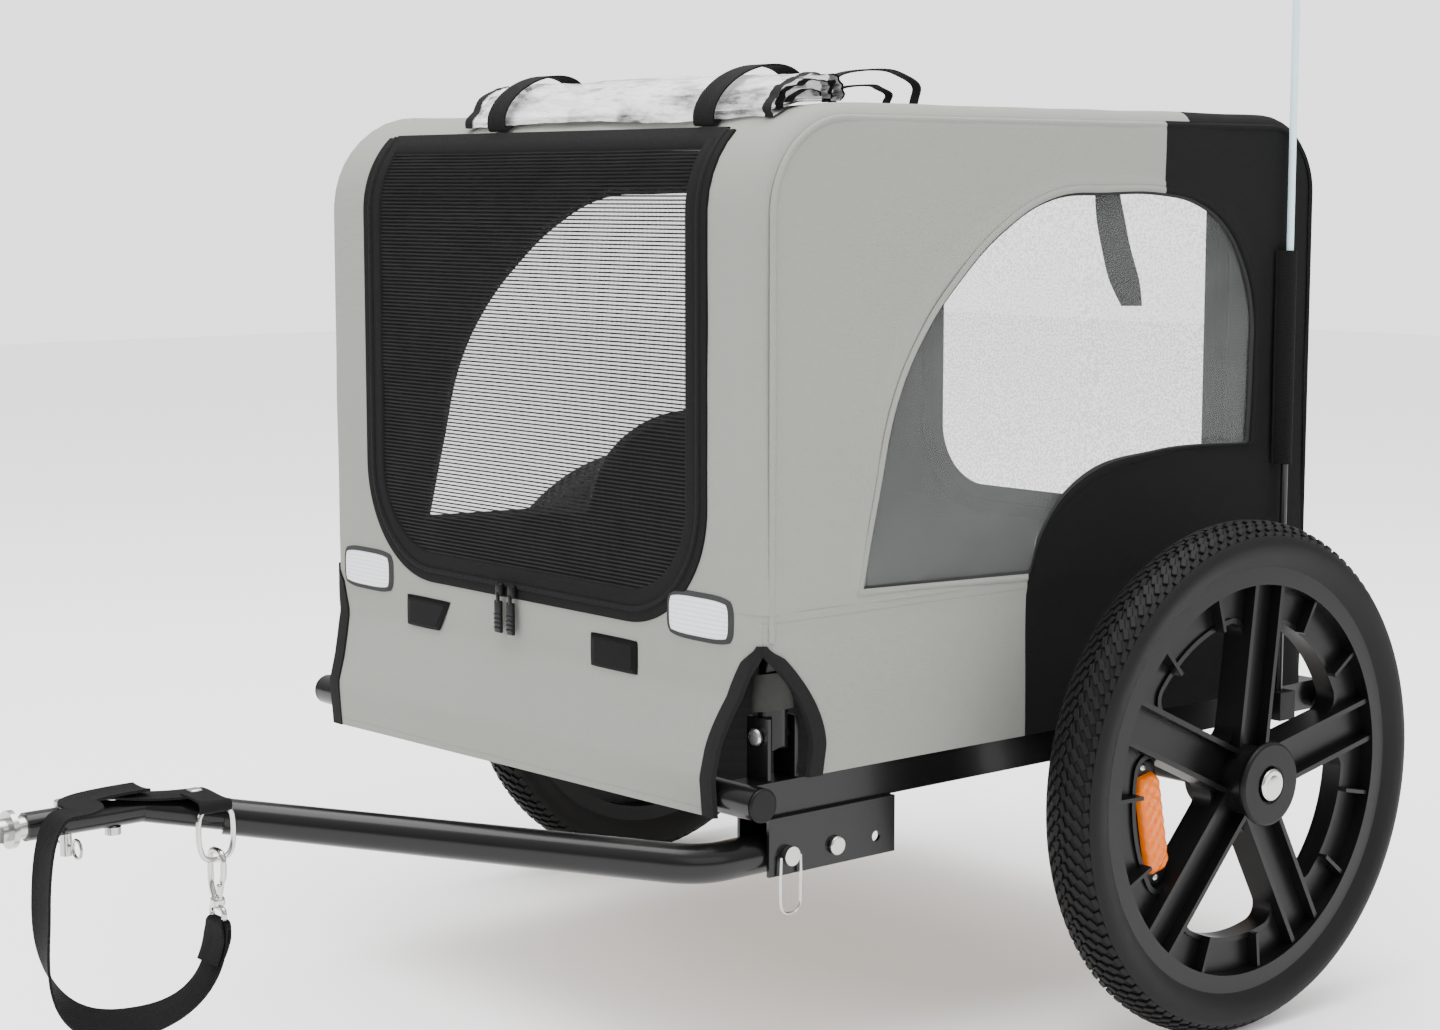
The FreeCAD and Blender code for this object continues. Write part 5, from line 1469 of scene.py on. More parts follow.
def tread(centre_x):
    """One pitch of blocks, with the other half of the tyre half a pitch behind, copied round."""
    pitch = math.tau / TYRE_PITCHES
    axle = (centre_x, WHEEL_Y, WHEEL_Z)
    rows = [(-x, lag, slant, wide, long) for x, lag, slant, wide, long in TREAD_ROWS]
    rows += [(-x, 0.5 - lag, -slant, wide, long) for x, lag, slant, wide, long in reversed(rows)]
    blocks = add(bpy.ops.mesh.primitive_cube_add, size=1, location=(0, 0, 0))
    edit_all(blocks)
    bpy.ops.mesh.delete(type="VERT")
    for x, lag, slant, wide, long in rows:
        tilt = math.atan2(crown_r(x - 0.002) - crown_r(x + 0.002), 0.004)
        bpy.ops.mesh.select_all(action="DESELECT")
        bpy.ops.mesh.primitive_cube_add(size=1)
        bpy.ops.transform.resize(value=(wide, long, BLOCK_HIGH))
        bpy.ops.mesh.bevel(offset=BLOCK_ROUND, segments=1, affect="EDGES")
        bpy.ops.transform.rotate(value=slant, orient_axis="Z", center_override=(0, 0, 0))
        bpy.ops.transform.rotate(value=-tilt, orient_axis="Y", center_override=(0, 0, 0))
        bpy.ops.transform.translate(value=(centre_x + x, WHEEL_Y, WHEEL_Z + crown_r(x) - BLOCK_SINK))
        bpy.ops.transform.rotate(value=lag * pitch, orient_axis="X", center_override=axle)
    bpy.ops.mesh.select_all(action="SELECT")
    bpy.ops.mesh.spin(steps=TYRE_PITCHES, dupli=True, angle=math.tau, center=axle, axis=(1, 0, 0))
    leave_edit()
    return blocks


for side, sign in SIDES:
    wheel_tyre = join(side + "_tyre_dressed", [smooth(tyre(sign * WHEEL_X), 50), tread(sign * WHEEL_X)])
    settle(finishes(wheel_tyre, tyre_rubber), side + "_wheel", side + "_tyre", slot="tyre_rubber")
    print(wheel_tyre.name, len(wheel_tyre.data.polygons))

# %% [markdown]
# ## Safety strap
# The strap starts on top of the drawbar, passes the hitch pin and hangs in a loop back to the snap
# hook. Its line is one smooth curve led by the points of its route, and the flat webbing follows it.

# %% Strap line
STRAP_ROUTE = ((0.095, -0.4545, 0.2645), (0.095, -0.5105, 0.2645), (0.1365, -0.5105, 0.2645),
               (0.1365, -0.5495, 0.2645), (0.1365, -0.5495, 0.118), (0.1365, -0.4225, 0.118),
               (0.1365, -0.4225, 0.1755))
strap_curve = bpy.data.curves.new("strap_line", "CURVE")
strap_curve.dimensions = "3D"
strap_spline = strap_curve.splines.new("NURBS")
strap_spline.points.add(len(STRAP_ROUTE) - 1)
for point, at in zip(strap_spline.points, STRAP_ROUTE):
    point.co = (*at, 1.0)
strap_spline.order_u = 3
strap_spline.use_endpoint_u = True
strap_spline.resolution_u = 24
strap_line = curve_points(strap_curve)
strap_run = run_along(strap_line)
strap_length = strap_run[-1]
print("strap length", round(strap_length, 3))

# %% Lay the webbing on the line
STRAP_W, STRAP_THICK, STRAP_TWIST, STRAP_CUP = 0.0248, 0.0018, 0.75, 0.0012


def strap_place(u, w):
    n = round(u)
    tangent = (strap_line[min(n + 1, len(strap_line) - 1)] - strap_line[max(n - 1, 0)]).normalized()
    if abs(tangent.z) < 0.05 and strap_run[n] < 0.16:
        width = Vector((0, 0, 1)).cross(tangent).normalized()
    else:
        width = Vector((1, 0, 0))
    share = strap_run[n] / strap_length
    twist = STRAP_TWIST * math.sin(math.pi * limited((share - 0.42) / 0.5)) ** 2
    width = Matrix.Rotation(twist, 3, tangent) @ width
    cup = STRAP_CUP * (1 - w * w)
    return strap_line[n] + width * (w * STRAP_W / 2) + width.cross(tangent) * cup


strap = sheet_grid("safety_strap_webbing", indices(strap_line), [-1, -0.92, -0.5, 0, 0.5, 0.92, 1],
                   strap_place, uv=lambda u, w: (strap_run[round(u)], w * STRAP_W / 2))
finishes(strap, webbing)
thicken(strap, STRAP_THICK, offset=0.0)
settle(smooth(strap, 60), "drawbar", "safety_strap", slot="webbing")
print("strap", len(strap.data.polygons), "faces")

# %% [markdown]
# ## Flag, sleeve and floor mat
# The pennant is a thin triangle whose hem is a tube on the pole. It could be draped by a simulation,
# but a wave that grows toward its tip is enough for so light a cloth. The sleeve that holds the pole
# is sewn down along both edges, so only its middle bulges, and the mat is quilted in diamonds.

# %% Pennant
POLE_X, POLE_Y, FLAG_TOP, FLAG_LOW, FLAG_LONG = 0.290, 0.5065, 1.128, 0.978, 0.170
pennant_cloth = cloth_finish("pennant_cloth", (0.62, 0.055, 0.003), (0.70, 0.080, 0.005))
HEM_R = 0.0038


def pennant_place(u, v):
    half = (FLAG_TOP - FLAG_LOW) / 2
    wave = 0.007 * u * math.sin(6.5 * u + 0.8 * v) + 0.002 * noise.noise(Vector((u * 5, v * 3, 2)))
    z = (FLAG_TOP + FLAG_LOW) / 2 + v * half * (1 - u)
    return POLE_X + wave * min(1.0, 4 * u), POLE_Y + 0.003 + FLAG_LONG * u, z


flag = sheet_grid("pennant_sheet", ramp(36), ramp(21, -1, 1), pennant_place,
                  uv=lambda u, v: (u * 0.17, v * 0.075))
join("pennant_sheet", [flag], merge=0.00001)
settle(smooth(finishes(flag, pennant_cloth), 60), "flag", "pennant", slot="pennant")
hem = sheet_grid("pennant_hem", ramp(25, 0, math.tau), ramp(20, FLAG_LOW, FLAG_TOP),
                 lambda a, z: (POLE_X + HEM_R * math.cos(a), POLE_Y + HEM_R * math.sin(a), z),
                 uv=lambda a, z: (a * HEM_R, z))
settle(smooth(finishes(hem, pennant_cloth), 60), "flag", slot="pennant")
print("pennant", [round(x, 3) for x in flag.dimensions])

# %% Sleeve on the side panel
SLEEVE_LOW, SLEEVE_HIGH, SLEEVE_HALF = 0.433, 0.611, 0.0108
SLEEVE_POCKET_HALF, SLEEVE_BULGE = 0.0078, 0.0115


def sleeve_place(y, z):
    t = min(1.0, abs(y) / SLEEVE_POCKET_HALF)
    bulge = SLEEVE_BULGE * math.cos(math.pi * t / 2) ** 0.8
    return SIDE_X + 0.0010 + bulge + 0.0003 * noise.noise(Vector((y * 200, z * 30, 3))), POLE_Y + y, z


sleeve = sheet_grid("flag_sleeve_tape", ramp(31, -SLEEVE_HALF, SLEEVE_HALF),
                    ramp(50, SLEEVE_LOW, SLEEVE_HIGH), sleeve_place, uv=lambda y, z: (z, y))
face_out(finishes(sleeve, webbing), lambda c: Vector((1, 0, 0)))
settle(smooth(thicken(sleeve, 0.0010, offset=1.0), 60), "left_hoop", "flag_sleeve", slot="black_cloth")
flatten_with("left", sleeve)
print("sleeve", [round(x, 3) for x in sleeve.dimensions])

# %% Quilted floor mat
mat_low, mat_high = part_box("floor_mat")
QUILT, QUILT_RISE, QUILT_SINK = 0.062, 0.0013, 0.0014


def mat_place(x, y):
    a = abs(math.sin(math.pi * (x + y) / QUILT)) * abs(math.sin(math.pi * (x - y) / QUILT))
    return x, y, mat_high.z - QUILT_SINK + QUILT_RISE * a ** 0.4


mat = sheet_grid("floor_mat_quilt", ramp(90, mat_low.x, mat_high.x), ramp(110, mat_low.y, mat_high.y),
                 mat_place, uv=lambda x, y: (x, y))
face_out(finishes(mat, lining), lambda c: Vector((0, 0, 1)))
settle(smooth(thicken(mat, 0.0006), 60), "base", "floor_mat", slot="black_cloth")
print("mat", [round(x, 3) for x in mat.dimensions])

# %% [markdown]
# ## Seams, patches and small trim
# Small pieces make the cloth read at its real size: a welt along the corner, reflector patches with
# a taped border, two fastener patches, and the zip's pulls. Webbing loops tie the canopy to its posts,
# and a strap and a gathered flap hang inside the window. All but the moulded pulls are bent grids.

# %% Corner welt


def corner_welt(name, sign):
    """A folded seam that stands up along the rounded corner between band and side."""
    rise = (0.0, 0.0011, 0.0016, 0.0011, 0.0)
    turns = (0.10, 0.15, 0.20, 0.25, 0.30)

    def place(s, k):
        a = turns[round(k)] * math.pi / 2
        r = EDGE_ROUND + rise[round(k)]
        return tent_point(sign * (SIDE_X - EDGE_ROUND + r * math.cos(a)), s, -EDGE_ROUND + r * math.sin(a))

    strip = sheet_grid(name, ramp(260, -0.020, PATH), [0, 1, 2, 3, 4], place, uv=lambda s, k: (s, k * 0.0012))
    return smooth(finishes(strip, canopy_cloth), 60)


for side, sign in SIDES:
    welt = settle(corner_welt(side + "_corner_welt", sign), side + "_hoop", slot="grey_cloth")
    flatten_with(side, welt)
    print(welt.name, len(welt.data.polygons), "faces")

# %% Reflector patches
reflex, reflex_tree, reflex_shader = new_finish("reflex_white", (0.62, 0.63, 0.66), 0.30, Coat_Weight=0.3)
facets = split_xyz(reflex_tree, uv_place(reflex_tree))
across, down = ripple(reflex_tree, facets[0], 1500.0), ripple(reflex_tree, facets[1], 900.0)
prism = maths(reflex_tree, "MULTIPLY", across, down)
reflex_tree.links.new(color_mix(reflex_tree, prism, (0.50, 0.51, 0.54), (0.74, 0.75, 0.78)),
                      reflex_shader.inputs["Base Color"])
add_bump(reflex_tree, reflex_shader, prism, 0.0004, 0.6)
border_tape = webbing_finish("reflector_border", (0.022, 0.022, 0.023), ribs=500.0, depth=0.0002)


def patch(name, middle, size, lift, material, corner=0.10, skew=0.0, crown=0.0):
    """A soft rounded patch laid on the front cloth."""
    (x0, z0), (w, h) = middle, size

    def place(u, v):
        x = x0 + w / 2 * u * (1 - corner * v ** 4) + skew * v * (1 + u)
        z = z0 + h / 2 * v * (1 - 1.6 * corner * u ** 4)
        puff = lift * min(1.0, 8 * (1 - max(abs(u), abs(v)) ** 2)) + crown * (1 - u * u) * (1 - v * v)
        return x, FRONT_Y - flare(z) - 0.0004 - puff, z

    sheet = sheet_grid(name, ramp(25, -1, 1), ramp(17, -1, 1), place,
                       uv=lambda u, v: (u * w / 2, v * h / 2))
    return smooth(finishes(sheet, material), 50)


trim = []
for side, at in (("left", (0.2155, 0.354)), ("right", (-0.2255, 0.341))):
    trim.append(patch(side + "_reflector_border", at, (0.076, 0.036), 0.0016, border_tape))
    trim.append(patch(side + "_reflector_face", at, (0.0705, 0.0310), 0.0022, reflex, crown=0.0004))
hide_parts("front_reflectors")
print("reflector patches", len(trim))

# %% Fastener patches
patch_vinyl = grained("patch_vinyl", (0.0018, 0.0018, 0.0018), 0.50, 0.08, 500.0, 0.0002,
                      Specular_IOR_Level=0.06)
PATCH_RIM, PATCH_HIGH = 0.005, 0.026
FASTENERS = (("right", (-0.139, 0.3135), 0.056, 0.004), ("left", (0.114, 0.3135), 0.058, 0.0))
for side, at, wide, skew in FASTENERS:
    trim.append(patch(side + "_fastener_patch", at, (wide, PATCH_HIGH), 0.0014, patch_vinyl, 0.02, skew))
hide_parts("front_fasteners")
for side, at, wide, skew in FASTENERS:
    panel = (wide - PATCH_RIM, PATCH_HIGH - PATCH_RIM)
    trim.append(patch("patch_panel_%d" % len(trim), at, panel, 0.0018, patch_vinyl, 0.03, skew))

# %% Zip pulls


def block(size, at, round_off):
    """A small moulded block with rounded edges."""
    obj = add(bpy.ops.mesh.primitive_cube_add, size=1)
    edit_all(obj)
    bpy.ops.transform.resize(value=size)
    bpy.ops.mesh.bevel(offset=round_off, segments=3, affect="EDGES")
    bpy.ops.mesh.select_all(action="SELECT")
    bpy.ops.transform.translate(value=at)
    leave_edit()
    return obj


def zip_pull(name, x):
    """A moulded slider on the zip with a ribbed pull hanging from it."""
    def on_cloth(z, out):
        return x, FRONT_Y - flare(z) - out, z

    pieces = [block((0.0085, 0.0060, 0.0110), on_cloth(0.3460, 0.0032), 0.0022),
              block((0.0034, 0.0022, 0.0080), on_cloth(0.3400, 0.0058), 0.0008),
              block((0.0092, 0.0028, 0.0260), on_cloth(0.3245, 0.0052), 0.0011)]
    for k in range(4):
        pieces.append(block((0.0080, 0.0012, 0.0014), on_cloth(0.3155 + 0.0036 * k, 0.0068), 0.0004))
    return smooth(finishes(join(name, pieces), trim_plastic), 40)


for n, x in enumerate((-0.029, -0.0125)):
    trim.append(zip_pull("zip_pull_%d" % n, x))
for obj in trim:
    settle(obj, "base", slot="white_reflector" if "reflector" in obj.name else "black_plastic")
sink_with("left", *trim)
print("trim", [o.name for o in trim])

# %% Webbing loop round each front post
loop_webbing = webbing_finish("loop_webbing", (0.020, 0.020, 0.019), ribs=900.0, depth=0.0004)
POST_X, POST_Y, POST_LOOP_R, POST_LOOP_HALF = 0.266, -0.0425, 0.0126, 0.0135
STRAP_SHARES = [-1, -0.9, -0.4, 0, 0.4, 0.9, 1]


def post_loop(name, sign, z):
    """A wide webbing loop, a little slack, that ties the canopy to the hoop's post."""
    def place(a, w):
        c, s = math.cos(a), math.sin(a)
        r = POST_LOOP_R + 0.0014 * (1 + math.cos(a + 0.9)) + 0.0004 * noise.noise(Vector((c, s, w)))
        return sign * (POST_X + r * c), POST_Y + r * s, z + w * POST_LOOP_HALF + 0.003 * c

    loop = sheet_grid(name, ramp(49, 0, math.tau), STRAP_SHARES, place,
                      uv=lambda a, w: (a * 0.0135, w * POST_LOOP_HALF))
    join(name, [loop], merge=0.00001)
    face_out(finishes(loop, loop_webbing), lambda c: Vector((c.x - sign * POST_X, c.y - POST_Y, 0)))
    return smooth(thicken(loop, 0.0012, offset=1.0), 60)


for side, sign, z in (("left", 1, 0.3035), ("right", -1, 0.3375)):
    loop = settle(post_loop(side + "_post_loop", sign, z), side + "_hoop", slot="webbing")
    print(loop.name, len(loop.data.polygons), "faces")

# %% Strap that hangs inside the window
TIE_X, TIE_Y, TIE_TOP_Z, TIE_DROP = 0.2525, 0.318, 0.700, 0.132
FLAP_X, FLAP_Y, FLAP_TOP_Z, FLAP_LONG = 0.2540, 0.285, 0.692, 0.165


def inner_place(t, w):
    y, z = TIE_Y + 0.036 * t ** 1.2, TIE_TOP_Z - TIE_DROP * t
    curl = 0.25 + 0.8 * t + 0.5 * math.sin(7 * t)
    half = 0.0125 + 0.004 * t
    x = TIE_X - 0.006 * math.sin(3 * t) + w * half * math.sin(curl) * 0.5
    return x, y + w * half * math.cos(curl), z


inner_strap = sheet_grid("inner_tie_strap", ramp(30), [-1, -0.5, 0, 0.5, 1], inner_place,
                         uv=lambda t, w: (t * 0.14, w * 0.011))
finishes(inner_strap, webbing)


def flap_place(t, v):
    drop = 0.010 + 0.030 * t ** 1.5 + 0.006 * math.sin(11 * t) ** 2
    x = FLAP_X - 0.008 * v + 0.003 * math.sin(14 * t)
    return x, FLAP_Y + FLAP_LONG * t, FLAP_TOP_Z - v * drop


inner_flap = sheet_grid("inner_gathered_flap", ramp(30), ramp(9), flap_place,
                        uv=lambda t, v: (t * FLAP_LONG, v * 0.03))
finishes(inner_flap, black_cloth)
for hanging in (inner_strap, inner_flap):
    settle(smooth(thicken(hanging, 0.0012, offset=0.0), 60), "left_hoop", slot="webbing")
flatten_with("left", inner_strap, inner_flap, keep=0.3)
print("inside the window", inner_strap.name, inner_flap.name)

# %% [markdown]
# ## Wheels: rims and reflectors
# The moulded rim comes from its solid: the copy's edges get a small radius, because a mould never
# leaves a sharp edge and those radii catch the light. The wheel reflector is an amber prism lens on
# a black strip, held by two screws.

# %% Round the edges of moulded and pressed parts


def rounded(node_name, radius, angle=35):
    """A copy of a solid with its sharp edges rounded, which then stands for it."""
    node = nodes[node_name]
    obj = bpy.data.objects.new(node_name + "_rounded", node.data.copy())
    bpy.context.scene.collection.objects.link(obj)
    pick(obj)
    if obj.data.has_custom_normals:
        bpy.ops.mesh.customdata_custom_splitnormals_clear()
    edit_all(obj)
    bpy.ops.mesh.remove_doubles(threshold=0.00002)
    bpy.ops.mesh.dissolve_limited(angle_limit=math.radians(0.6))
    bpy.ops.mesh.normals_make_consistent(inside=False)
    leave_edit()
    bevel = obj.modifiers.new("rounding", "BEVEL")
    bevel.width = radius
    bevel.segments = 2
    bevel.limit_method = "ANGLE"
    bevel.angle_limit = math.radians(angle)
    bevel.use_clamp_overlap = True
    smooth(obj, 50)
    flat = obj.modifiers.new("flat_faces", "WEIGHTED_NORMAL")
    flat.keep_sharp = True
    apply_modifiers(obj)
    return obj


for side in ("left", "right"):
    for part, radius in (("rim", 0.0008), ("hub_cap", 0.0022)):
        moulded = rounded(side + "_" + part, radius)
        settle(moulded, side + "_wheel", side + "_" + part, slot="black_plastic")
        print(moulded.name, len(moulded.data.polygons), "faces")

# %% Button dome
BUTTON_R, BUTTON_OUT = 0.0125, 0.4124


def dome_place(sign):
    def place(r, a):
        crown = 0.0022 * (1 - r * r) - (0.0007 if 0.62 < r < 0.72 else 0.0)
        return (sign * (BUTTON_OUT - 0.0012 + crown), WHEEL_Y + BUTTON_R * r * math.cos(a),
                WHEEL_Z + BUTTON_R * r * math.sin(a))
    return place


for side, sign in SIDES:
    dome = sheet_grid(side + "_button_dome", [0.0, 0.2, 0.4, 0.58, 0.61, 0.63, 0.71, 0.73, 0.85, 0.95, 1.0],
                      ramp(49, 0, math.tau), dome_place(sign), uv=lambda r, a: (r * BUTTON_R, a * 0.004))
    join(dome.name, [dome], merge=0.000005)
    face_out(finishes(dome, chrome), lambda c: Vector((sign, 0, 0)))
    settle(smooth(dome, 40), side + "_button", slot="chrome")
    print(dome.name, len(dome.data.polygons), "faces")

# %% Wheel reflectors
LENS_TURN = math.radians(191)
LENS_R, LENS_HALF, LENS_WIDE, WEB_X = 0.106, 0.0397, 0.0128, 0.002
BACK_HALF, BACK_WIDE, BACK_STRAIGHT = 0.0500, 0.0150, 0.86
SCREW_R, SCREW_AT = 0.0032, 0.0450
SCREW_RINGS = [0.0, 0.2, 0.27, 0.3, 0.5, 0.7, 0.85, 0.95, 1.0, 1.001]


def wheel_point(sign, radial, along, out):
    c, s = math.cos(LENS_TURN), math.sin(LENS_TURN)
    y = (LENS_R + radial) * c - along * s
    z = (LENS_R + radial) * s + along * c
    return sign * (WHEEL_X + WEB_X + out), WHEEL_Y + y, WHEEL_Z + z


def lens_place(sign):
    def place(u, v):
        narrow = 1 - 0.42 * max(0.0, (abs(u) - 0.78) / 0.22) ** 1.5
        dome = (1 - abs(v) ** 5) * (1 - abs(u) ** 14)
        cut = 0.0007 * math.cos(u * 24) * math.cos(v * 7) * dome
        return wheel_point(sign, v * LENS_WIDE * narrow, u * LENS_HALF, 0.0012 + 0.0064 * dome ** 0.5 + cut)
    return place


for side, sign in SIDES:
    lens = sheet_grid(side + "_wheel_lens", ramp(81, -1, 1), ramp(25, -1, 1), lens_place(sign),
                      uv=lambda u, v: (u * LENS_HALF, v * LENS_WIDE))
    settle(smooth(finishes(lens, amber), 50), side + "_wheel", side + "_wheel_reflector",
           slot="amber_reflector")

    def back_place(u, v):
        end = max(0.0, (abs(u) - BACK_STRAIGHT) / 0.14)
        half = BACK_WIDE * math.sqrt(max(0.0, 1 - end ** 2))
        return wheel_point(sign, v * half, u * BACK_HALF, 0.0008 - 0.0016 * (abs(v) ** 8))

    back = sheet_grid(side + "_lens_back", ramp(61, -1, 1), ramp(9, -1, 1), back_place,
                      uv=lambda u, v: (u * BACK_HALF, v * BACK_WIDE))
    face_out(finishes(back, trim_plastic), lambda c: Vector((sign, 0, 0)))
    settle(smooth(thicken(back, 0.0030), 50), side + "_wheel", slot="black_plastic")
    for end in (-1, 1):
        def screw_place(r, a):
            depth = -0.0008 if r < 0.28 else 0.0
            return wheel_point(sign, SCREW_R * r * math.cos(a), end * SCREW_AT + SCREW_R * r * math.sin(a),
                               0.0010 + 0.0014 * (1 - r ** 3) + depth)

        screw = sheet_grid(side + "_lens_screw_%d" % (end + 1), SCREW_RINGS, ramp(25, 0, math.tau),
                           screw_place, uv=lambda r, a: (r * 0.003, a * 0.003))
        join(screw.name, [screw], merge=0.000005)
        face_out(finishes(screw, zinc), lambda c: Vector((sign, 0, 0)))
        settle(smooth(screw, 40), side + "_wheel", slot="bolt_steel")
print("reflectors set")

# %% [markdown]
# ## Small metal parts
# Bolt heads, pins and the bracket come from their solids, with the edges rounded as pressing and
# plating leave them. Bent wire is a round section run along a line whose corners are bends.

# %% Round the metal edges
for node_name, radius in (("drawbar_bracket", 0.0009), ("hinge_brackets", 0.0006), ("lock_pin", 0.0026),
                          ("drawbar_bolt", 0.0026), ("hinge_bolts", 0.0022), ("hitch_pins", 0.0014),
                          ("tube_end_caps", 0.0014), ("coupler_plate", 0.0009), ("coupler_yoke", 0.0012),
                          ("coupler_shank", 0.0012), ("flag_cup", 0.0012)):
    settle(rounded(node_name, radius), nodes[node_name]["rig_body"], node_name)

# %% Bent wire


def bent(points, bend, closed=False, steps=8):
    """Round the corners of a line, as wire bends round a peg."""
    corners = [Vector(p) for p in points]
    line = []
    for i, corner in enumerate(corners):
        if not closed and i in (0, len(corners) - 1):
            line.append(corner)
            continue
        back, on = corners[i - 1] - corner, corners[(i + 1) % len(corners)] - corner
        start = corner + back.normalized() * min(bend, back.length / 2)
        end = corner + on.normalized() * min(bend, on.length / 2)
        for k in range(steps + 1):
            t = k / steps
            line.append((1 - t) ** 2 * start + 2 * t * (1 - t) * corner + t * t * end)
    return line


def wire(name, line, radius, material, closed=False):
    """A round wire along a line."""
    curve = bpy.data.curves.new(name, "CURVE")
    curve.dimensions = "3D"
    curve.bevel_depth, curve.bevel_resolution = radius, 4
    curve.use_fill_caps = not closed
    run = curve.splines.new("POLY")
    run.points.add(len(line) - 1)
    for point, at in zip(run.points, line):
        point.co = (*at, 1.0)
    run.use_cyclic_u = closed
    obj = bpy.data.objects.new(name, curve)
    bpy.context.scene.collection.objects.link(obj)
    pick(obj)
    bpy.ops.object.convert(target="MESH")
    return smooth(finishes(bpy.context.object, material), 60)


# %% Painted shadow ring where the tyre meets the rim
GROOVE_R, GROOVE_OUT, GROOVE_WIRE_R = 0.1710, 0.0176, 0.0009
for side, sign in SIDES:
    for face in (1, -1):
        groove_x = sign * WHEEL_X + face * GROOVE_OUT
        groove_line = [(groove_x, WHEEL_Y + GROOVE_R * math.cos(a), WHEEL_Z + GROOVE_R * math.sin(a))
                       for a in ramp(121, 0, math.tau)[:-1]]
        shadow_ring_name = "%s_bead_groove_%s" % (side, "out" if face == sign else "in")
        # The black ring is a painted shadow: it stands for the shade in the gap between the tyre's bead and
        # the rim.
        shadow_ring = wire(shadow_ring_name, groove_line, GROOVE_WIRE_R, zip_tape, closed=True)
        settle(shadow_ring, side + "_wheel", slot="tyre_rubber")
        print(shadow_ring.name, len(shadow_ring.data.polygons), "faces")

# %% Pin bail and strap ring
PIN_X, PIN_Y = 0.2881, -0.0445
BAIL = ((-0.0092, 0.1870), (-0.0098, 0.172), (-0.0092, 0.1447), (0.0092, 0.1447), (0.0098, 0.172),
        (0.0092, 0.1870))
bail_line = bent([(PIN_X, PIN_Y + y, z) for y, z in BAIL], 0.0090)
settle(wire("pin_bail_wire", bail_line, 0.0012, zinc), "pin_bail", "pin_bail", slot="bolt_steel")
HOOK_X, HOOK_Y = 0.1365, -0.4225
RING = ((-0.0120, 0.2527), (0.0120, 0.2527), (0.0137, 0.232), (0.0100, 0.2173), (-0.0100, 0.2173),
        (-0.0137, 0.232))
ring_line = bent([(HOOK_X, HOOK_Y + y, z) for y, z in RING], 0.0085, closed=True)
settle(wire("strap_d_ring", ring_line, 0.0019, chrome, closed=True), "drawbar", "strap_ring", slot="chrome")
print("bail and ring bent")

# %% Snap hook
HOOK = ((-0.0035, 0.1900), (-0.0088, 0.1985), (-0.0088, 0.2235), (0.0088, 0.2235), (0.0088, 0.2065),
        (0.0062, 0.2035))
GATE = ((0.0074, 0.2060), (0.0062, 0.1985), (0.0026, 0.1900))
EYE = ((-0.0085, 0.1760), (-0.0085, 0.1850), (0.0085, 0.1850), (0.0085, 0.1760))
hook = []
for name, turns, bend, radius, closed in (("snap_hook_body", HOOK, 0.0075, 0.0021, False),
                                          ("snap_hook_gate", GATE, 0.004, 0.0013, False),
                                          ("snap_hook_eye", EYE, 0.0060, 0.0019, True)):
    hook_line = bent([(HOOK_X + x, HOOK_Y, z) for x, z in turns], bend, closed)
    hook.append(wire(name, hook_line, radius, chrome, closed))
hook.append(block((0.0085, 0.0085, 0.0075), (HOOK_X, HOOK_Y, 0.1885), 0.0024))
hook.append(block((0.0040, 0.0030, 0.0075), (HOOK_X + 0.0072, HOOK_Y - 0.0026, 0.1985), 0.0010))
settle(smooth(finishes(join("snap_hook_wire", hook), chrome), 50), "drawbar", "snap_hook", slot="chrome")

# %% Strap end on the drawbar
KEEPER_X, KEEPER_Z, RING_BAR_Z, EYE_BAR_Z = 0.0990, 0.2577, 0.2527, 0.1742
TAIL_FROM, TAIL_TO = Vector((0.0935, -0.4760, 0.2628)), Vector((0.1100, -0.4180, 0.2590))
TAIL_ACROSS, TAIL_HALF = Vector((0.96, -0.27, 0)), 0.0122


def keeper_place(t, w):
    """A sewn tab that lies across the tube and folds round the ring's bar."""
    x = KEEPER_X + 0.0375 * min(1.0, t / 0.75)
    z = KEEPER_Z + 0.0008 * math.sin(6 * t + w) - 0.0006 * w
    if t > 0.75:
        a = (t - 0.75) / 0.25 * math.pi
        x, z = HOOK_X + 0.0026 * math.sin(a), RING_BAR_Z + 0.0036 * math.cos(a) + 0.0008
    return x, HOOK_Y - 0.001 + w * 0.0118, z


def strap_end_place(t, w):
    """The strap's tail runs along the tube from the loop to the sewn tab."""
    sag = Vector((0, 0, -0.0016 * math.sin(math.pi * t) - 0.0012 * w * w))
    return TAIL_FROM.lerp(TAIL_TO, t) + TAIL_ACROSS * (w * TAIL_HALF) + sag


for name, place in (("ring_keeper", keeper_place), ("strap_tail", strap_end_place)):
    tab = sheet_grid(name, ramp(40), STRAP_SHARES, place, uv=lambda t, w: (t * 0.05, w * 0.012))
    settle(smooth(thicken(finishes(tab, webbing), 0.0016, offset=0.0), 60), "drawbar", slot="webbing")

# %% Sewn fold at the hook


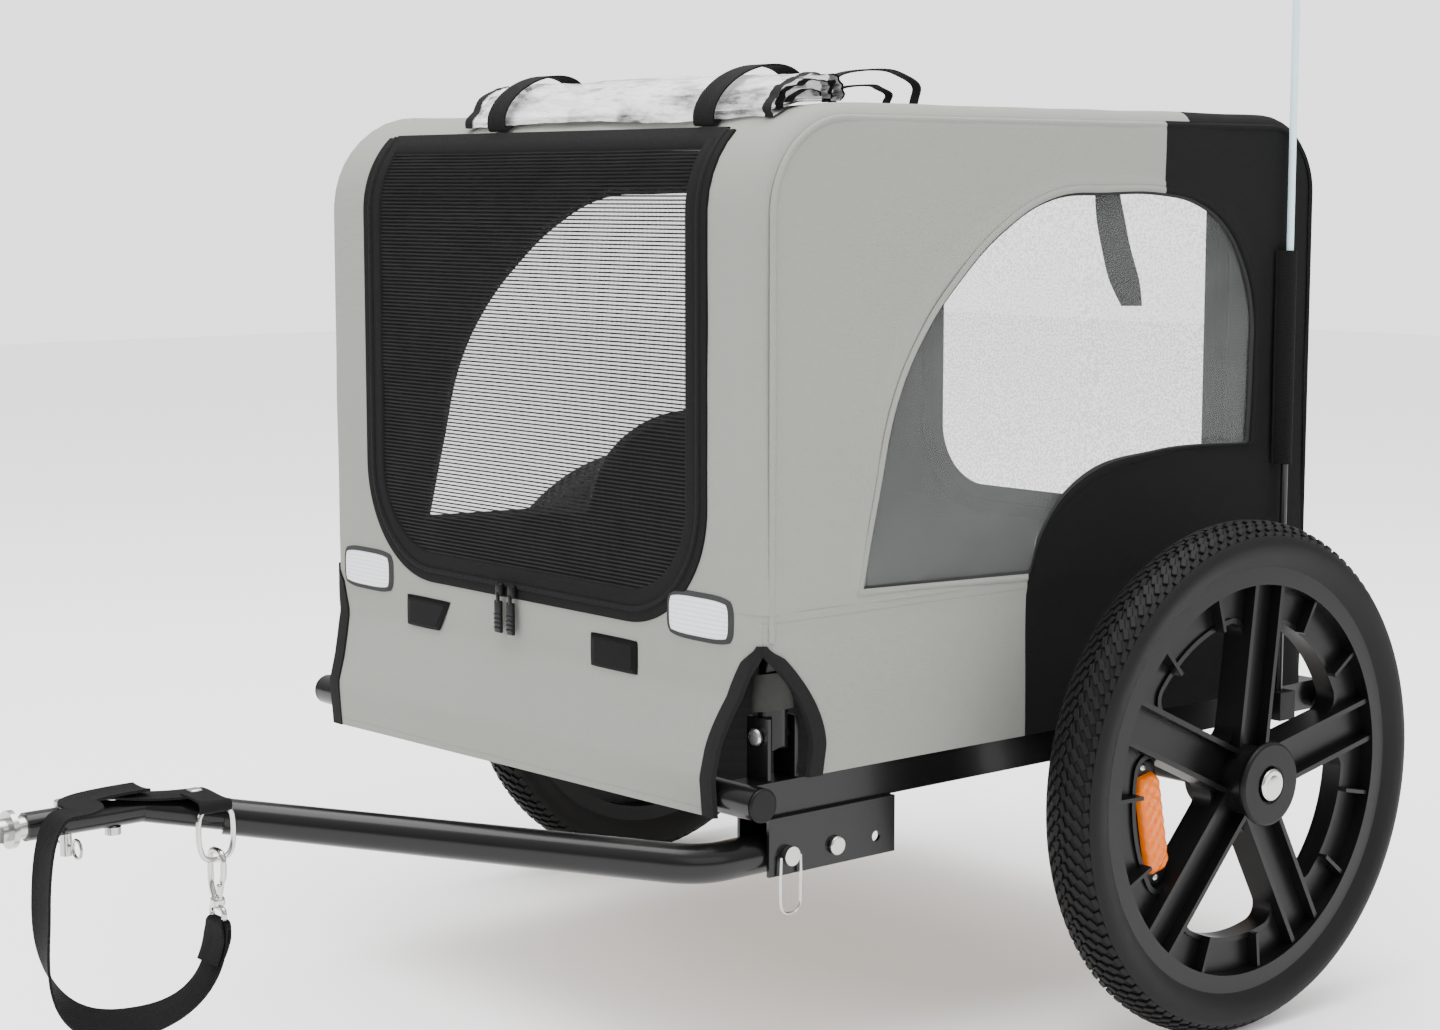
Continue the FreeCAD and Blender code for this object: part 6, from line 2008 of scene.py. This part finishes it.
def fold_place(t, w):
    """The strap's end goes through the hook's eye and is sewn back on itself."""
    a = math.pi * (t - 0.5) / 0.24
    if abs(t - 0.5) < 0.12:
        y, z = HOOK_Y + 0.0032 * math.sin(a), EYE_BAR_Z + 0.0036 * math.cos(a)
    else:
        side = 1 if t > 0.5 else -1
        down = (abs(t - 0.5) - 0.12) / 0.38
        y = HOOK_Y + side * (0.0032 - 0.0016 * down) - 0.0075 * down ** 2
        z = EYE_BAR_Z - 0.026 * down
    return HOOK_X + w * (0.0078 + 0.0048 * min(1.0, abs(t - 0.5) / 0.25)), y, z


fold = sheet_grid("strap_sewn_fold", ramp(60), STRAP_SHARES, fold_place,
                  uv=lambda t, w: (t * 0.06, w * 0.012))
settle(smooth(thicken(finishes(fold, webbing), 0.0016, offset=0.0), 60), "drawbar", slot="webbing")
for hanging in (strap, fold):
    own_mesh(hanging)
rivet = block((0.0090, 0.0090, 0.0030), (0.1085, HOOK_Y, 0.2592), 0.0014)
rivet.name = "keeper_rivet"
settle(smooth(finishes(rivet, chrome), 50), "drawbar", slot="chrome")
print("strap hardware set")

# %% [markdown]
# ## What the cloth was cut to
# The rolled cover is measured along its spiral, and the gathered flap along and across its cloth.
# Both sizes are printed.


def spread(name, *axes):
    """How far a finished piece reaches along each group of axes, measured on its box."""
    size = bpy.data.objects[name].dimensions
    return tuple(sum(size["xyz".index(axis)] for axis in group) for group in axes)


for end in ("front", "rear"):
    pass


def tape_length(points):
    """Length along a line of points, as a tape laid on the cloth reads."""
    return run_along(list(points))[-1]


roll_middle = (ROLL_X0 + ROLL_X1) / 2
roll_length = tape_length(roll_point(roll_middle, t) for t in ramp(150))
flap_drop = max(tape_length((flap_place(t, 0), flap_place(t, 1))) for t in ramp(30))
flap_size = (tape_length(flap_place(t, 0.5) for t in ramp(30)), flap_drop)
print("rolled cover", round(ROLL_X1 - ROLL_X0, 3), "x", round(roll_length, 3))
print("flap", [round(s, 3) for s in flap_size])
